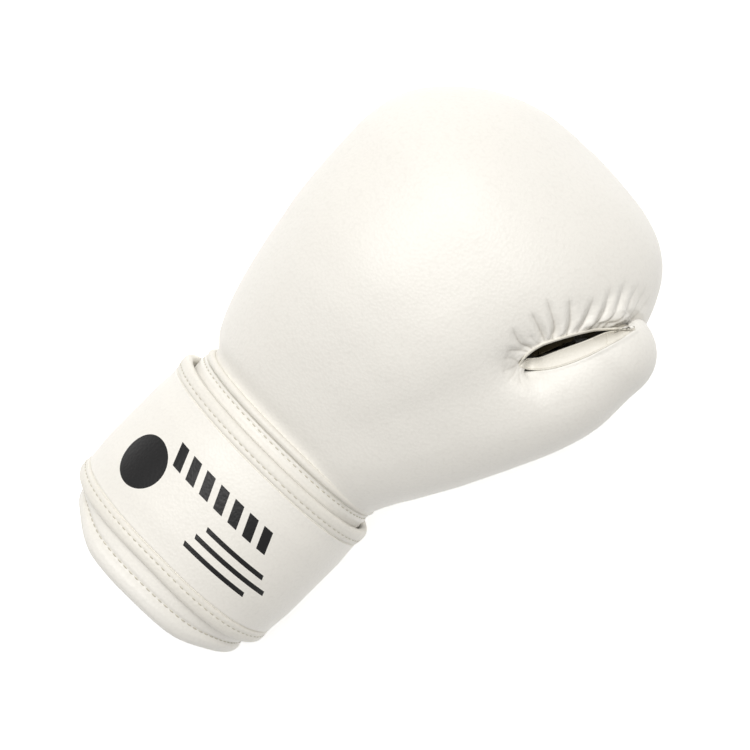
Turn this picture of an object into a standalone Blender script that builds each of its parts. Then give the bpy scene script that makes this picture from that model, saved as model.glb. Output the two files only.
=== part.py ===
"""Boxing glove for the left hand, lying on its little-finger side.

+X runs from the wrist to the knuckles, +Y is the back of the hand, +Z is the
thumb side, and the glove rests on z = 0. All lengths below are millimetres.

The hand and the cuff are built in layers (leather, foam, lining) around one
centre line. Every layer is a closed solid between two surfaces that are read
along the same fan of rays, so neighbouring layers nest without touching.
"""

import math

import bmesh
import bpy
import numpy as np
from mathutils import Vector

# ------------------------------------------------------------------ driving dimensions, mm
SHIFT = (0.35, 0.0)  # puts the middle of the glove's box on the origin
GAP = 0.35  # between two layers, and between two panels
SKIN = 1.6  # leather
LINING = 1.2
ROUND = 2.35  # exponent of the hand's rounded sections
SEAM_DEG = 0.25  # half the angle between two panels

# Hand without the thumb: station, back of the hand, palm side, half width, height of the middle
HAND = [
    (-52, 58.0, -41.0, 46.5, 50.5),
    (-42, 58.8, -41.5, 47.5, 51.0),
    (-34, 64.6, -42.0, 50.5, 52.5),
    (-20, 70.5, -42.5, 55.0, 55.0),
    (0, 75.7, -41.5, 60.5, 59.0),
    (20, 79.2, -39.0, 64.5, 62.6),
    (40, 82.0, -34.0, 66.6, 64.8),
    (50, 82.9, -31.0, 67.0, 65.0),
    (57, 83.3, -50.0, 67.2, 65.0),
    (64, 83.6, -65.0, 67.2, 65.0),
    (76, 84.0, -72.5, 67.0, 65.0),
    (90, 82.4, -72.0, 64.5, 65.0),
    (102, 78.0, -69.5, 59.5, 65.0),
    (114, 69.0, -64.6, 51.0, 65.0),
    (123, 59.0, -59.0, 42.0, 65.0),
    (130, 48.0, -51.0, 32.5, 65.0),
    (136, 33.0, -37.0, 20.0, 65.0),
    (139, 18.0, -20.0, 11.0, 65.0),
    (140.3, 2.0, -4.0, 2.0, 65.0),
]
# Hand space inside the lining: station, back, palm side, half width, height of the middle
SPACE = [
    (-52, 43.0, -29.0, 36.0, 50.0),
    (-20, 40.0, -27.0, 38.0, 55.0),
    (10, 37.0, -22.0, 42.0, 61.0),
    (40, 36.0, -17.0, 43.0, 64.5),
    (56, 36.0, -15.0, 43.0, 65.0),
    (62, 36.0, -30.0, 43.0, 65.0),
    (70, 36.0, -41.0, 42.5, 65.0),
    (84, 33.0, -42.0, 41.0, 65.0),
    (96, 24.0, -34.0, 34.0, 65.0),
    (103, 10.0, -18.0, 20.0, 65.0),
    (105, -2.0, -6.0, 2.0, 65.0),
]
# Thumb: station, middle across the hand, height of the middle, radius
THUMB = [
    (-44, -16.0, 66.0, 18.0),
    (-20, -28.5, 72.0, 25.5),
    (0, -37.0, 77.0, 27.5),
    (30, -50.0, 85.0, 27.6),
    (56, -59.3, 90.2, 25.4),
    (79, -62.5, 93.0, 22.5),
    (102, -65.0, 95.0, 22.5),
]
THUMB_ROOT = 49.0  # the hand's own share of the thumb ends here
THUMB_BASE = 56.4  # the free thumb starts here
THUMB_TIP = 79.0  # centre of the thumb's round end
THUMB_CLEAR = 2.2  # between the thumb and the fist
STALL = 12.0  # radius of the space for the thumb
THUMB_SEAMS = (30.0, 215.0)

CENTRE_Y = 8.0
FRONT = 76.0  # the rays fan out from here to the knuckles
HAND_X = (-48, -42, -32, -18, -2, 14, 28, 40, 49, 55.6, 56.0, 64, 70, 76)
FRONT_DEG = (9, 17, 22, 27, 36, 46.8, 47.2, 59, 71, 81, 90)
HAND_SEAMS = (45.0, 150.0, 225.0, 300.0)
HAND_DEG = (*range(0, 136, 15), 139, 143, 150, 158, 165, 172, 178, 182, 186, 192, 202, 213, *range(225, 360, 15))

# Cuff
CUFF_MID = (8.9, 48.5)
CUFF_HALF = (52.6, 49.5)
CUFF_SPACE_MID = (7.5, 49.0)
CUFF_SPACE_HALF = (38.0, 36.5)
CUFF_X = (-134.6, -126, -108, -90, -72, -56, -49.4)
RIM_X = (-141.0, -139.0, -135.0)
CUFF_SLIT = (175.0, 185.0)  # the cuff is open along the palm
LOOP_AREA = (-35.0, 17.0, -116.0, -63.0)
PIPING_X = -44.8
PIPING_R = 1.9

# Strap
STRAP_X = (-126.0, -53.0)
STRAP_IN, STRAP_OUT = 0.4, 5.0  # from the cuff's surface
BINDING_R = 2.25
STRAP_WALL = 1.0
STRAP_CUTS = (225.0, 183.0, 130.0, 77.0, 24.0, -40.0)
HOOK = 0.8

COLLECTION = "boxing_glove"


# ------------------------------------------------------------------ helpers
def clear_scene():
    for item in list(bpy.data.objects):
        bpy.data.objects.remove(item, do_unlink=True)


def smooth_table(rows, column, x):
    """Monotone cubic through one column of a lofting table."""
    rows = np.array(rows, float)
    t, y = rows[:, 0], rows[:, column]
    step = np.diff(t)
    slope = np.diff(y) / step
    tangent = np.zeros(len(t))
    for i in range(1, len(t) - 1):
        if slope[i - 1] * slope[i] > 0:
            w1, w2 = 2 * step[i] + step[i - 1], step[i] + 2 * step[i - 1]
            tangent[i] = (w1 + w2) / (w1 / slope[i - 1] + w2 / slope[i])
    tangent[0], tangent[-1] = slope[0], slope[-1]
    x = np.clip(np.asarray(x, float), t[0], t[-1])
    k = np.clip(np.searchsorted(t, x, side="right") - 1, 0, len(t) - 2)
    h = step[k]
    s = (x - t[k]) / h
    return (
        (2 * s**3 - 3 * s**2 + 1) * y[k]
        + (s**3 - 2 * s**2 + s) * h * tangent[k]
        + (-2 * s**3 + 3 * s**2) * y[k + 1]
        + (s**3 - s**2) * h * tangent[k + 1]
    )


def in_section(points, rows, power):
    """True inside the body that a lofting table describes."""
    x, y, z = points[..., 0], points[..., 1], points[..., 2]
    back, palm = smooth_table(rows, 1, x), smooth_table(rows, 2, x)
    half, mid = smooth_table(rows, 3, x), smooth_table(rows, 4, x)
    shape = (
        np.abs((y - (back + palm) / 2) / ((back - palm) / 2)) ** power
        + np.abs((z - mid) / half) ** power
    )
    return (shape <= 1) & (x <= rows[-1][0])


def in_thumb(points, extra=0.0, radius=None):
    """True inside the thumb, or inside a tube of its own radius along it."""
    x = points[..., 0]
    cy, cz = smooth_table(THUMB, 1, x), smooth_table(THUMB, 2, x)
    r = smooth_table(THUMB, 3, x) if radius is None else radius
    away = np.maximum(x - THUMB_TIP, 0.0)
    across = np.hypot(points[..., 1] - cy, points[..., 2] - cz)
    return np.hypot(across, away) <= r + extra


def centre(x):
    """Point of the hand's centre line at a station."""
    return np.array([x, CENTRE_Y, smooth_table(HAND, 4, x)])


def rays():
    """The fan of rays of the hand: starts and directions, row by row."""
    angles = []
    for a in sorted(set(HAND_DEG)):
        if float(a) in HAND_SEAMS:
            angles += [a - SEAM_DEG, a + SEAM_DEG]
        else:
            angles.append(float(a))
    u = np.radians(angles)
    starts, ways = [], []
    for x in HAND_X:
        starts.append(np.repeat(centre(x)[None], len(u), 0))
        ways.append(np.stack([np.zeros_like(u), np.cos(u), np.sin(u)], 1))
    for deg in FRONT_DEG:
        s, c = math.sin(math.radians(deg)), math.cos(math.radians(deg))
        starts.append(np.repeat(centre(FRONT)[None], len(u), 0))
        ways.append(np.stack([np.full_like(u, s), c * np.cos(u), c * np.sin(u)], 1))
    return np.array(angles), np.array(starts), np.array(ways)


def reach(starts, ways, inside, longest=170.0, last=True):
    """How far each ray runs inside a body: to its last point inside, or its first."""
    steps = np.arange(0.5, longest, 0.5)
    points = starts[..., None, :] + ways[..., None, :] * steps[:, None]
    hit = inside(points)
    if last:
        far = hit.shape[-1] - 1 - np.argmax(hit[..., ::-1], -1)
        return np.where(hit.any(-1), steps[far], 0.0)
    return np.where(hit.any(-1), steps[np.argmax(hit, -1)], 1e6)


def weld_faces(bm, table, corners):
    """One face from table keys, dropping corners that coincide."""
    verts = []
    for key in corners:
        vert = table[key]
        if vert not in verts:
            verts.append(vert)
    if len(verts) >= 3:
        bm.faces.new(verts)


def layer(name, outer, inner, keep, material, wrap=True, pole=False):
    """Closed solid between two grids of points, over the cells that keep marks."""
    rows, columns = outer.shape[:2]
    bm = bmesh.new()
    table = {}
    for side, grid in ((0, outer), (1, inner)):
        for i in range(rows):
            for j in range(columns):
                if pole and i == rows - 1 and j:
                    table[side, i, j] = table[side, i, 0]
                    continue
                table[side, i, j] = bm.verts.new([float(c) * 0.001 for c in grid[i, j]])
    wide = columns if wrap else columns - 1

    def kept(i, j):
        if i < 0 or i >= rows - 1 or (not wrap and (j < 0 or j >= wide)):
            return False
        return bool(keep[i, j % wide])

    for i in range(rows - 1):
        for j in range(wide):
            if not kept(i, j):
                continue
            n = (j + 1) % columns
            weld_faces(bm, table, [(0, i, j), (0, i + 1, j), (0, i + 1, n), (0, i, n)])
            weld_faces(bm, table, [(1, i, j), (1, i, n), (1, i + 1, n), (1, i + 1, j)])
            if not kept(i - 1, j):
                weld_faces(bm, table, [(0, i, j), (0, i, n), (1, i, n), (1, i, j)])
            if not kept(i + 1, j) and not (pole and i == rows - 2):
                weld_faces(bm, table, [(0, i + 1, n), (0, i + 1, j), (1, i + 1, j), (1, i + 1, n)])
            if not kept(i, j - 1):
                weld_faces(bm, table, [(0, i + 1, j), (0, i, j), (1, i, j), (1, i + 1, j)])
            if not kept(i, j + 1):
                weld_faces(bm, table, [(0, i, n), (0, i + 1, n), (1, i + 1, n), (1, i, n)])
    bmesh.ops.delete(bm, geom=[v for v in bm.verts if not v.link_faces], context="VERTS")
    bmesh.ops.recalc_face_normals(bm, faces=bm.faces)
    if bm.calc_volume(signed=True) < 0:
        bmesh.ops.reverse_faces(bm, faces=bm.faces)
    return add_mesh(name, bm, material)


def add_mesh(name, bm, material, origin=None):
    mesh = bpy.data.meshes.new(name)
    bmesh.ops.translate(bm, verts=bm.verts, vec=(SHIFT[0] * 0.001, SHIFT[1] * 0.001, 0))
    if origin is not None:
        bmesh.ops.translate(bm, verts=bm.verts, vec=-Vector(origin))
    bm.to_mesh(mesh)
    bm.free()
    item = bpy.data.objects.new(name, mesh)
    if origin is not None:
        item.location = origin
    mesh.materials.append(material)
    mesh.shade_smooth()
    PARTS.objects.link(item)
    return item


def tube(name, points, radius, material, closed=False, origin=None):
    """Round cord or rolled edge along a row of points."""
    curve = bpy.data.curves.new(name, "CURVE")
    curve.dimensions = "3D"
    curve.bevel_depth = radius * 0.001
    curve.bevel_resolution = 2
    curve.use_fill_caps = not closed
    spline = curve.splines.new("POLY")
    spline.points.add(len(points) - 1)
    base = Vector(origin) if origin is not None else Vector((0, 0, 0))
    for point, p in zip(spline.points, points):
        at = Vector(((p[0] + SHIFT[0]) * 0.001, (p[1] + SHIFT[1]) * 0.001, p[2] * 0.001)) - base
        point.co = (*at, 1)
    spline.use_cyclic_u = closed
    curve.materials.append(material)
    item = bpy.data.objects.new(name, curve)
    item.location = base
    PARTS.objects.link(item)
    return item


def finish(name, colour, roughness):
    material = bpy.data.materials.new(name)
    material.use_nodes = True
    shader = material.node_tree.nodes["Principled BSDF"]
    shader.inputs["Base Color"].default_value = (*colour, 1)
    shader.inputs["Roughness"].default_value = roughness
    shader.inputs["Metallic"].default_value = 0.0
    return material


clear_scene()
PARTS = bpy.data.collections.new(COLLECTION)
bpy.context.scene.collection.children.link(PARTS)
LEATHER = finish("leather", (0.86, 0.84, 0.79), 0.5)
FOAM = finish("foam", (0.75, 0.72, 0.62), 0.9)
CLOTH = finish("lining", (0.42, 0.38, 0.3), 0.85)
TRIM = finish("trim", (0.8, 0.78, 0.72), 0.6)
TAPE = finish("hook_and_loop", (0.1, 0.1, 0.1), 0.95)

# ------------------------------------------------------------------ hand
ANGLES, STARTS, WAYS = rays()
NO_THUMB = np.array([x > THUMB_ROOT + 0.1 for x in HAND_X] + [True] * len(FRONT_DEG))


def outside_of_hand():
    """Outer surface: the hand, with the thumb's root on it and the thumb's bed cut into it."""
    body = reach(STARTS, WAYS, lambda p: in_section(p, HAND, ROUND))
    root = reach(STARTS, WAYS, lambda p: in_thumb(p) & (p[..., 0] < THUMB_TIP))
    bed = reach(STARTS, WAYS, lambda p: in_thumb(p, THUMB_CLEAR), last=False)
    # Next to the thumb the fist is cut back one ray further, which leaves a crease beside it.
    met = (bed < body - 0.5) & NO_THUMB[:, None]
    wide = np.where(met, bed, 1e6)
    for step, axis in ((1, 1), (-1, 1), (1, 0), (-1, 0)):
        beside = np.roll(np.where(met, bed, 1e6), step, axis)
        if axis == 0:
            beside[0 if step == 1 else -1] = 1e6
        wide = np.where(met, wide, np.minimum(wide, beside))
    bed = np.where(NO_THUMB[:, None], wide, 1e6)
    hull = np.where(NO_THUMB[:, None], np.minimum(body, bed), np.maximum(body, root))
    down = WAYS[..., 2] < -1e-6
    floor = np.where(down, STARTS[..., 2] / np.where(down, -WAYS[..., 2], 1.0), 1e6)
    return np.minimum(hull, floor)


def inside_of_hand():
    """The lining's outer surface: the hand's space, with a way into the thumb."""
    space = reach(STARTS, WAYS, lambda p: in_section(p, SPACE, 2.4))
    way = reach(
        STARTS,
        WAYS,
        lambda p: in_thumb(p, radius=STALL + LINING + 1.0) & (p[..., 0] > 8) & (p[..., 0] < THUMB_TIP),
    )
    return np.where(NO_THUMB[:, None], space, np.maximum(space, way))


HULL = outside_of_hand()
HOLLOW = inside_of_hand()
HOLLOW = np.minimum(HOLLOW, HULL - 2 * SKIN - LINING - 4.0)


def at(depth_from_outside=None, above_hollow=None):
    if depth_from_outside is not None:
        length = HULL - depth_from_outside
    else:
        length = HOLLOW + above_hollow
    return STARTS + WAYS * length[..., None]


SKIN_OUT, SKIN_IN = at(0.0), at(SKIN)
FOAM_OUT, FOAM_IN = at(SKIN + GAP), at(above_hollow=GAP)
CLOTH_OUT, CLOTH_IN = at(above_hollow=0.0), at(above_hollow=-LINING)

ROWS, COLUMNS = len(HAND_X) + len(FRONT_DEG), len(ANGLES)
TURN = np.array([(ANGLES[j] + ((ANGLES[(j + 1) % COLUMNS] - ANGLES[j]) % 360) / 2) % 360 for j in range(COLUMNS)])
WIDTH = np.array([(ANGLES[(j + 1) % COLUMNS] - ANGLES[j]) % 360 for j in range(COLUMNS)])
SEAM = WIDTH < 1.0
ROW_X = np.array([(HAND_X[i] + HAND_X[i + 1]) / 2 if i + 1 < len(HAND_X) else 200.0 + i for i in range(ROWS - 1)])
X_SEAM = np.abs(ROW_X - 55.8) < 0.1

# The way into the thumb is open where the hollow reaches past the fist's bed.
OPEN = np.zeros((ROWS - 1, COLUMNS), bool)
root_row = HAND_X.index(49)
for j in range(COLUMNS):
    n = (j + 1) % COLUMNS
    if min(HOLLOW[root_row, j], HOLLOW[root_row, n]) > max(HULL[root_row + 1, j], HULL[root_row + 1, n]) + 3:
        OPEN[root_row, j] = True


def cells(low_deg, high_deg, first_x=-1e3, last_x=1e3):
    """Cells between two seams, going up from low to high, and between two stations."""
    span = (high_deg - low_deg) % 360
    inside = ((TURN - low_deg) % 360 < span) & ~(
        SEAM & (((TURN - low_deg) % 360 < 1) | ((TURN - low_deg) % 360 > span - 1))
    )
    band = (ROW_X > first_x) & (ROW_X < last_x)
    return band[:, None] & inside[None, :] & ~OPEN


ALL = np.ones((ROWS - 1, COLUMNS), bool) & ~OPEN
ROW = np.arange(ROWS - 1)[:, None]
FRONT_SEAM = len(HAND_X) + 5  # the row of cells between the side panels and the knuckle cap
BEFORE_FRONT = ROW < FRONT_SEAM

# Leather: little-finger side, palm, curled fingers, and one big panel for the rest.
layer("side_panel", SKIN_OUT, SKIN_IN, cells(225.0, 300.0, -45) & BEFORE_FRONT, LEATHER, pole=True)
layer("palm_panel", SKIN_OUT, SKIN_IN, cells(150.0, 225.0, -45, 55.7), LEATHER, pole=True)
layer("finger_panel", SKIN_OUT, SKIN_IN, cells(150.0, 225.0, 55.9) & BEFORE_FRONT, LEATHER, pole=True)
layer(
    "back_and_knuckle_shell",
    SKIN_OUT,
    SKIN_IN,
    cells(300.0, 150.0, -45) | (ALL & (ROW > FRONT_SEAM)),
    LEATHER,
    pole=True,
)

# Foam: back of the hand, palm, both sides, and the cup over the knuckles and fingers.
layer("back_foam", FOAM_OUT, FOAM_IN, cells(300.0, 45.0, -1e3, 55.7), FOAM, pole=True)
layer("thumb_side_foam", FOAM_OUT, FOAM_IN, cells(45.0, 150.0, -1e3, 55.7), FOAM, pole=True)
layer("palm_foam", FOAM_OUT, FOAM_IN, cells(150.0, 225.0, -1e3, 55.7), FOAM, pole=True)
layer("little_finger_side_foam", FOAM_OUT, FOAM_IN, cells(225.0, 300.0, -1e3, 55.7), FOAM, pole=True)
layer("knuckle_foam", FOAM_OUT, FOAM_IN, ALL & (ROW_X > 55.9)[:, None], FOAM, pole=True)
layer("hand_lining", CLOTH_OUT, CLOTH_IN, ALL, CLOTH, pole=True)

# Grip bar: a firm roll across the palm that the fingers close round.
bm = bmesh.new()
bmesh.ops.create_cone(bm, cap_ends=True, segments=12, radius1=0.0075, radius2=0.0075, depth=0.05)
bmesh.ops.translate(bm, verts=bm.verts, vec=(0.0555, -0.0015, 0.065))
add_mesh("grip_bar", bm, CLOTH)

# ------------------------------------------------------------------ free thumb
THUMB_ROWS = (THUMB_BASE, 63.0, 71.0, THUMB_TIP)
THUMB_FRONT = (22, 45, 67, 90)
t_angles = []
for a in range(0, 360, 20):
    t_angles.append(float(a))
for seam in THUMB_SEAMS:
    t_angles += [seam - 0.5, seam + 0.5]
t_angles = np.array(sorted(t_angles))
tu = np.radians(t_angles)
t_starts, t_ways, t_radius = [], [], []
for x in THUMB_ROWS:
    c = np.array([x, smooth_table(THUMB, 1, x), smooth_table(THUMB, 2, x)])
    t_starts.append(np.repeat(c[None], len(tu), 0))
    t_ways.append(np.stack([np.zeros_like(tu), np.cos(tu), np.sin(tu)], 1))
    t_radius.append(np.full(len(tu), float(smooth_table(THUMB, 3, x))))
for deg in THUMB_FRONT:
    s, c2 = math.sin(math.radians(deg)), math.cos(math.radians(deg))
    t_starts.append(t_starts[len(THUMB_ROWS) - 1])
    t_ways.append(np.stack([np.full_like(tu, s), c2 * np.cos(tu), c2 * np.sin(tu)], 1))
    t_radius.append(t_radius[len(THUMB_ROWS) - 1])
t_starts, t_ways, t_radius = np.array(t_starts), np.array(t_ways), np.array(t_radius)


def thumb_at(depth):
    return t_starts + t_ways * (t_radius - depth)[..., None]


def thumb_at_radius(radius):
    return t_starts + t_ways * np.full(t_radius.shape, radius)[..., None]


t_rows, t_columns = len(THUMB_ROWS) + len(THUMB_FRONT), len(t_angles)
t_turn = np.array([(t_angles[j] + ((t_angles[(j + 1) % t_columns] - t_angles[j]) % 360) / 2) % 360 for j in range(t_columns)])
t_width = np.array([(t_angles[(j + 1) % t_columns] - t_angles[j]) % 360 for j in range(t_columns)])
low, high = THUMB_SEAMS
t_all = np.ones((t_rows - 1, t_columns), bool)
outer_side = (t_turn > low) & (t_turn < high) & (t_width > 1.5)
inner_side = ~((t_turn > low - 1) & (t_turn < high + 1))
t_last = np.arange(t_rows - 1)[:, None] < t_rows - 2
layer("thumb_outer_panel", thumb_at(0), thumb_at(SKIN), t_all & (outer_side[None] | ~t_last), LEATHER, pole=True)
t_near = np.arange(t_rows - 1)[:, None] < t_rows - 3
layer("thumb_inner_panel", thumb_at(0), thumb_at(SKIN), t_all & inner_side[None] & t_near, LEATHER, pole=True)
layer("thumb_foam", thumb_at(SKIN + GAP), thumb_at_radius(STALL + LINING + GAP), t_all, FOAM, pole=True)
layer("thumb_lining", thumb_at_radius(STALL + LINING), thumb_at_radius(STALL), t_all, CLOTH, pole=True)

# ------------------------------------------------------------------ cuff
c_angles = []
for a in range(0, 360, 15):
    if a == 180:
        c_angles += [CUFF_SLIT[0], CUFF_SLIT[1]]
    else:
        c_angles.append(float(a))
loop_low, loop_high = LOOP_AREA[0] % 360, LOOP_AREA[1]
c_angles += [loop_low, loop_low + 0.6, loop_high - 0.6, loop_high]
c_angles = np.array(sorted(c_angles))
cu = np.radians(c_angles)


def oval(mid, half, angle, grow=0.0, power=2.2):
    """Point on an oval section at a polar angle, moved out along its normal; never below the floor."""
    c, s = np.cos(angle), np.sin(angle)
    r = (np.abs(c / half[0]) ** power + np.abs(s / half[1]) ** power) ** (-1 / power)
    y, z = r * c, r * s
    ny = np.sign(y) * np.abs(y / half[0]) ** (power - 1) / half[0]
    nz = np.sign(z) * np.abs(z / half[1]) ** (power - 1) / half[1]
    n = np.hypot(ny, nz)
    return mid[0] + y + grow * ny / n, mid[1] + z + grow * nz / n


def cuff_grid(stations, depth=None, above=None, taper=None):
    grid = []
    for k, x in enumerate(stations):
        c, s = np.cos(cu), np.sin(cu)
        power = 2.2
        outer = (np.abs(c / CUFF_HALF[0]) ** power + np.abs(s / CUFF_HALF[1]) ** power) ** (-1 / power)
        floor = np.where(s < -1e-6, CUFF_MID[1] / np.where(s < -1e-6, -s, 1.0), 1e6)
        outer = np.minimum(outer, floor)
        inner = (np.abs(c / CUFF_SPACE_HALF[0]) ** power + np.abs(s / CUFF_SPACE_HALF[1]) ** power) ** (-1 / power)
        r = outer - depth if depth is not None else inner + above
        if taper is not None:
            r = r + taper[k]
        grid.append(np.stack([np.full_like(r, x), CUFF_MID[0] + r * c, CUFF_MID[1] + r * s], 1))
    return np.array(grid)


c_columns = len(c_angles)
c_turn = np.array([(c_angles[j] + ((c_angles[(j + 1) % c_columns] - c_angles[j]) % 360) / 2) % 360 for j in range(c_columns)])
c_width = np.array([(c_angles[(j + 1) % c_columns] - c_angles[j]) % 360 for j in range(c_columns)])
slit = (c_turn > CUFF_SLIT[0]) & (c_turn < CUFF_SLIT[1])
SHELL_X = (-134.6, -126, LOOP_AREA[2] - 0.5, LOOP_AREA[2], -90, LOOP_AREA[3], LOOP_AREA[3] + 0.5, -49.4)
s_row = np.array([(SHELL_X[i] + SHELL_X[i + 1]) / 2 for i in range(len(SHELL_X) - 1)])
loop_turn = ((c_turn - loop_low) % 360) < ((loop_high - loop_low) % 360)
loop_rim = loop_turn & (c_width < 0.8)
window = loop_turn[None] & ((s_row > SHELL_X[2]) & (s_row < SHELL_X[6]))[:, None]
inside_rows = ((s_row > LOOP_AREA[2]) & (s_row < LOOP_AREA[3]))[:, None]
layer("cuff_shell", cuff_grid(SHELL_X, 0.0), cuff_grid(SHELL_X, SKIN), ~slit[None] & ~window, LEATHER)
layer("loop_pad", cuff_grid(SHELL_X, 0.0), cuff_grid(SHELL_X, SKIN), (loop_turn & ~loop_rim)[None] & inside_rows, TAPE)
c_all = np.ones((len(CUFF_X) - 1, c_columns), bool) & ~slit[None]
CUFF_FOAM_X = CUFF_X[:-1] + (-48.6,)
layer("cuff_foam", cuff_grid(CUFF_FOAM_X, SKIN + GAP), cuff_grid(CUFF_FOAM_X, above=LINING + GAP), c_all, FOAM)
layer("cuff_lining", cuff_grid(CUFF_FOAM_X, above=LINING), cuff_grid(CUFF_FOAM_X, above=0.0), c_all, CLOTH)
r_all = np.ones((len(RIM_X) - 1, c_columns), bool) & ~slit[None]
layer(
    "cuff_rim_binding",
    cuff_grid(RIM_X, 0.0, taper=(-3.5, -1.0, 0.0)),
    cuff_grid(RIM_X, above=0.0, taper=(3.0, 1.0, 0.0)),
    r_all,
    TRIM,
)

# Piping in the groove between the cuff and the hand
ring = []
for a in np.radians(np.arange(0, 360, 15)):
    c = centre(PIPING_X)
    way = np.array([0.0, math.cos(a), math.sin(a)])
    r = float(reach(c[None], way[None], lambda p: in_section(p, HAND, ROUND))[0])
    ring.append(c + way * (r - SKIN + PIPING_R + 0.7))
tube("cuff_piping", ring, PIPING_R, TRIM, closed=True)


# ------------------------------------------------------------------ strap
def wrap(deg, grow):
    return oval(CUFF_MID, CUFF_HALF, math.radians(deg), grow)


def sleeve(name, start, end, low, high, x_range, wall, material, origin):
    """Flat tube of leather that follows the cuff between two angles, open at both ends."""
    bm = bmesh.new()
    stations = 6
    rings = []
    for k in range(stations):
        deg = start + (end - start) * k / (stations - 1)
        loops = []
        for shrink in (0.0, wall) if wall else (0.0,):
            corners = [
                (x_range[0] + shrink, low + shrink),
                (x_range[1] - shrink, low + shrink),
                (x_range[1] - shrink, high - shrink),
                (x_range[0] + shrink, high - shrink),
            ]
            loop = []
            for x, grow in corners:
                y, z = wrap(deg, grow)
                loop.append(bm.verts.new((x * 0.001, float(y) * 0.001, float(z) * 0.001)))
            loops.append(loop)
        rings.append(loops)
    for k in range(stations - 1):
        for side, flip in zip(range(len(rings[0])), (False, True)):
            a, b = rings[k][side], rings[k + 1][side]
            for i in range(4):
                n = (i + 1) % 4
                quad = [a[i], a[n], b[n], b[i]]
                bm.faces.new(quad[::-1] if flip else quad)
    for k in (0, stations - 1):
        loops = rings[k]
        if len(loops) == 1:
            bm.faces.new(loops[0])
        else:
            for i in range(4):
                n = (i + 1) % 4
                bm.faces.new([loops[0][i], loops[0][n], loops[1][n], loops[1][i]])
    bmesh.ops.recalc_face_normals(bm, faces=bm.faces)
    if bm.calc_volume(signed=True) < 0:
        bmesh.ops.reverse_faces(bm, faces=bm.faces)
    return add_mesh(name, bm, material, origin)


NAMES = ("strap_sewn_end", "strap_1", "strap_2", "strap_3", "strap_4")
for k, name in enumerate(NAMES):
    high_deg, low_deg = STRAP_CUTS[k], STRAP_CUTS[k + 1]
    hinge = None
    if k:
        y, z = wrap(high_deg, STRAP_OUT)
        hinge = ((SHIFT[0]) * 0.001, (float(y) + SHIFT[1]) * 0.001, float(z) * 0.001)
    first, last = high_deg - 0.35, low_deg + 0.35
    x0, x1 = STRAP_X[0] + 2 * BINDING_R + GAP, STRAP_X[1] - 2 * BINDING_R - GAP
    inner = STRAP_IN if k < 4 else STRAP_IN + HOOK + GAP
    sleeve(name + "_cover", first, last, inner, STRAP_OUT, (x0, x1), STRAP_WALL, LEATHER, hinge)
    wall = STRAP_WALL + GAP
    sleeve(name + "_padding", first - 0.2, last + 0.2, inner + wall, STRAP_OUT - wall, (x0 + wall, x1 - wall), 0, FOAM, hinge)
    for edge, x in (("wrist_edge", STRAP_X[0] + BINDING_R), ("hand_edge", STRAP_X[1] - BINDING_R)):
        path = []
        for step in range(7):
            y, z = wrap(first + (last - first) * step / 6, STRAP_IN + BINDING_R)
            path.append((x, float(y), float(z)))
        tube(f"{name}_{edge}", path, BINDING_R, TRIM, origin=hinge)
    if k == 4:
        sleeve("hook_pad", LOOP_AREA[1] - 2.0, last + 1.0, STRAP_IN - 0.05, STRAP_IN + HOOK, (x0 + 6, x1 - 6), 0, TAPE, hinge)

# ------------------------------------------------------------------ thumb tether
bm = bmesh.new()
bmesh.ops.create_grid(bm, x_segments=4, y_segments=4, size=0.5)
for v in bm.verts:
    x = 80.0 + v.co.x * 12.0
    turn = math.radians(38.0 + v.co.y * 30.0)
    cy, cz, r = (float(smooth_table(THUMB, c, x)) for c in (1, 2, 3))
    r += THUMB_CLEAR / 2
    v.co = (x * 0.001, (cy + r * math.cos(turn)) * 0.001, (cz + r * math.sin(turn)) * 0.001)
tether = add_mesh("thumb_tether", bm, TRIM)
thicken = tether.modifiers.new("Thickness", "SOLIDIFY")
thicken.thickness = 0.0009
thicken.offset = 0.0
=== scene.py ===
import math

import bmesh
import bpy
import numpy as np
from mathutils import Matrix, Vector
from mathutils.bvhtree import BVHTree


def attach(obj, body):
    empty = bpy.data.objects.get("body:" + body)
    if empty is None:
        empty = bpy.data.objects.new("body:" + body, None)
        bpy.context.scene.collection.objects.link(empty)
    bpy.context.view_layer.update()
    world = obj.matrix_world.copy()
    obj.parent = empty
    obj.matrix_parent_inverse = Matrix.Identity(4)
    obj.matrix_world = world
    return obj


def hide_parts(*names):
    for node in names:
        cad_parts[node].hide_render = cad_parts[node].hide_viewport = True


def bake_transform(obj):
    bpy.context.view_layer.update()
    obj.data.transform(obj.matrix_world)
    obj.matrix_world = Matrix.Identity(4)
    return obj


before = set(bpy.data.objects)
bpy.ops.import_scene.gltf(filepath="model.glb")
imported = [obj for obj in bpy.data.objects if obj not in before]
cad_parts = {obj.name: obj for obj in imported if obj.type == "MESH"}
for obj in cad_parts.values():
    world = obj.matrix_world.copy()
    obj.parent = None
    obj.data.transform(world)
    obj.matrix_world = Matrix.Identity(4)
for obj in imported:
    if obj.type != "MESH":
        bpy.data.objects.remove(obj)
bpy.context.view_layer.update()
MM = 0.001
DX = 0.35  # the design's origin sits this far along +X in the row frame, mm

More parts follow.
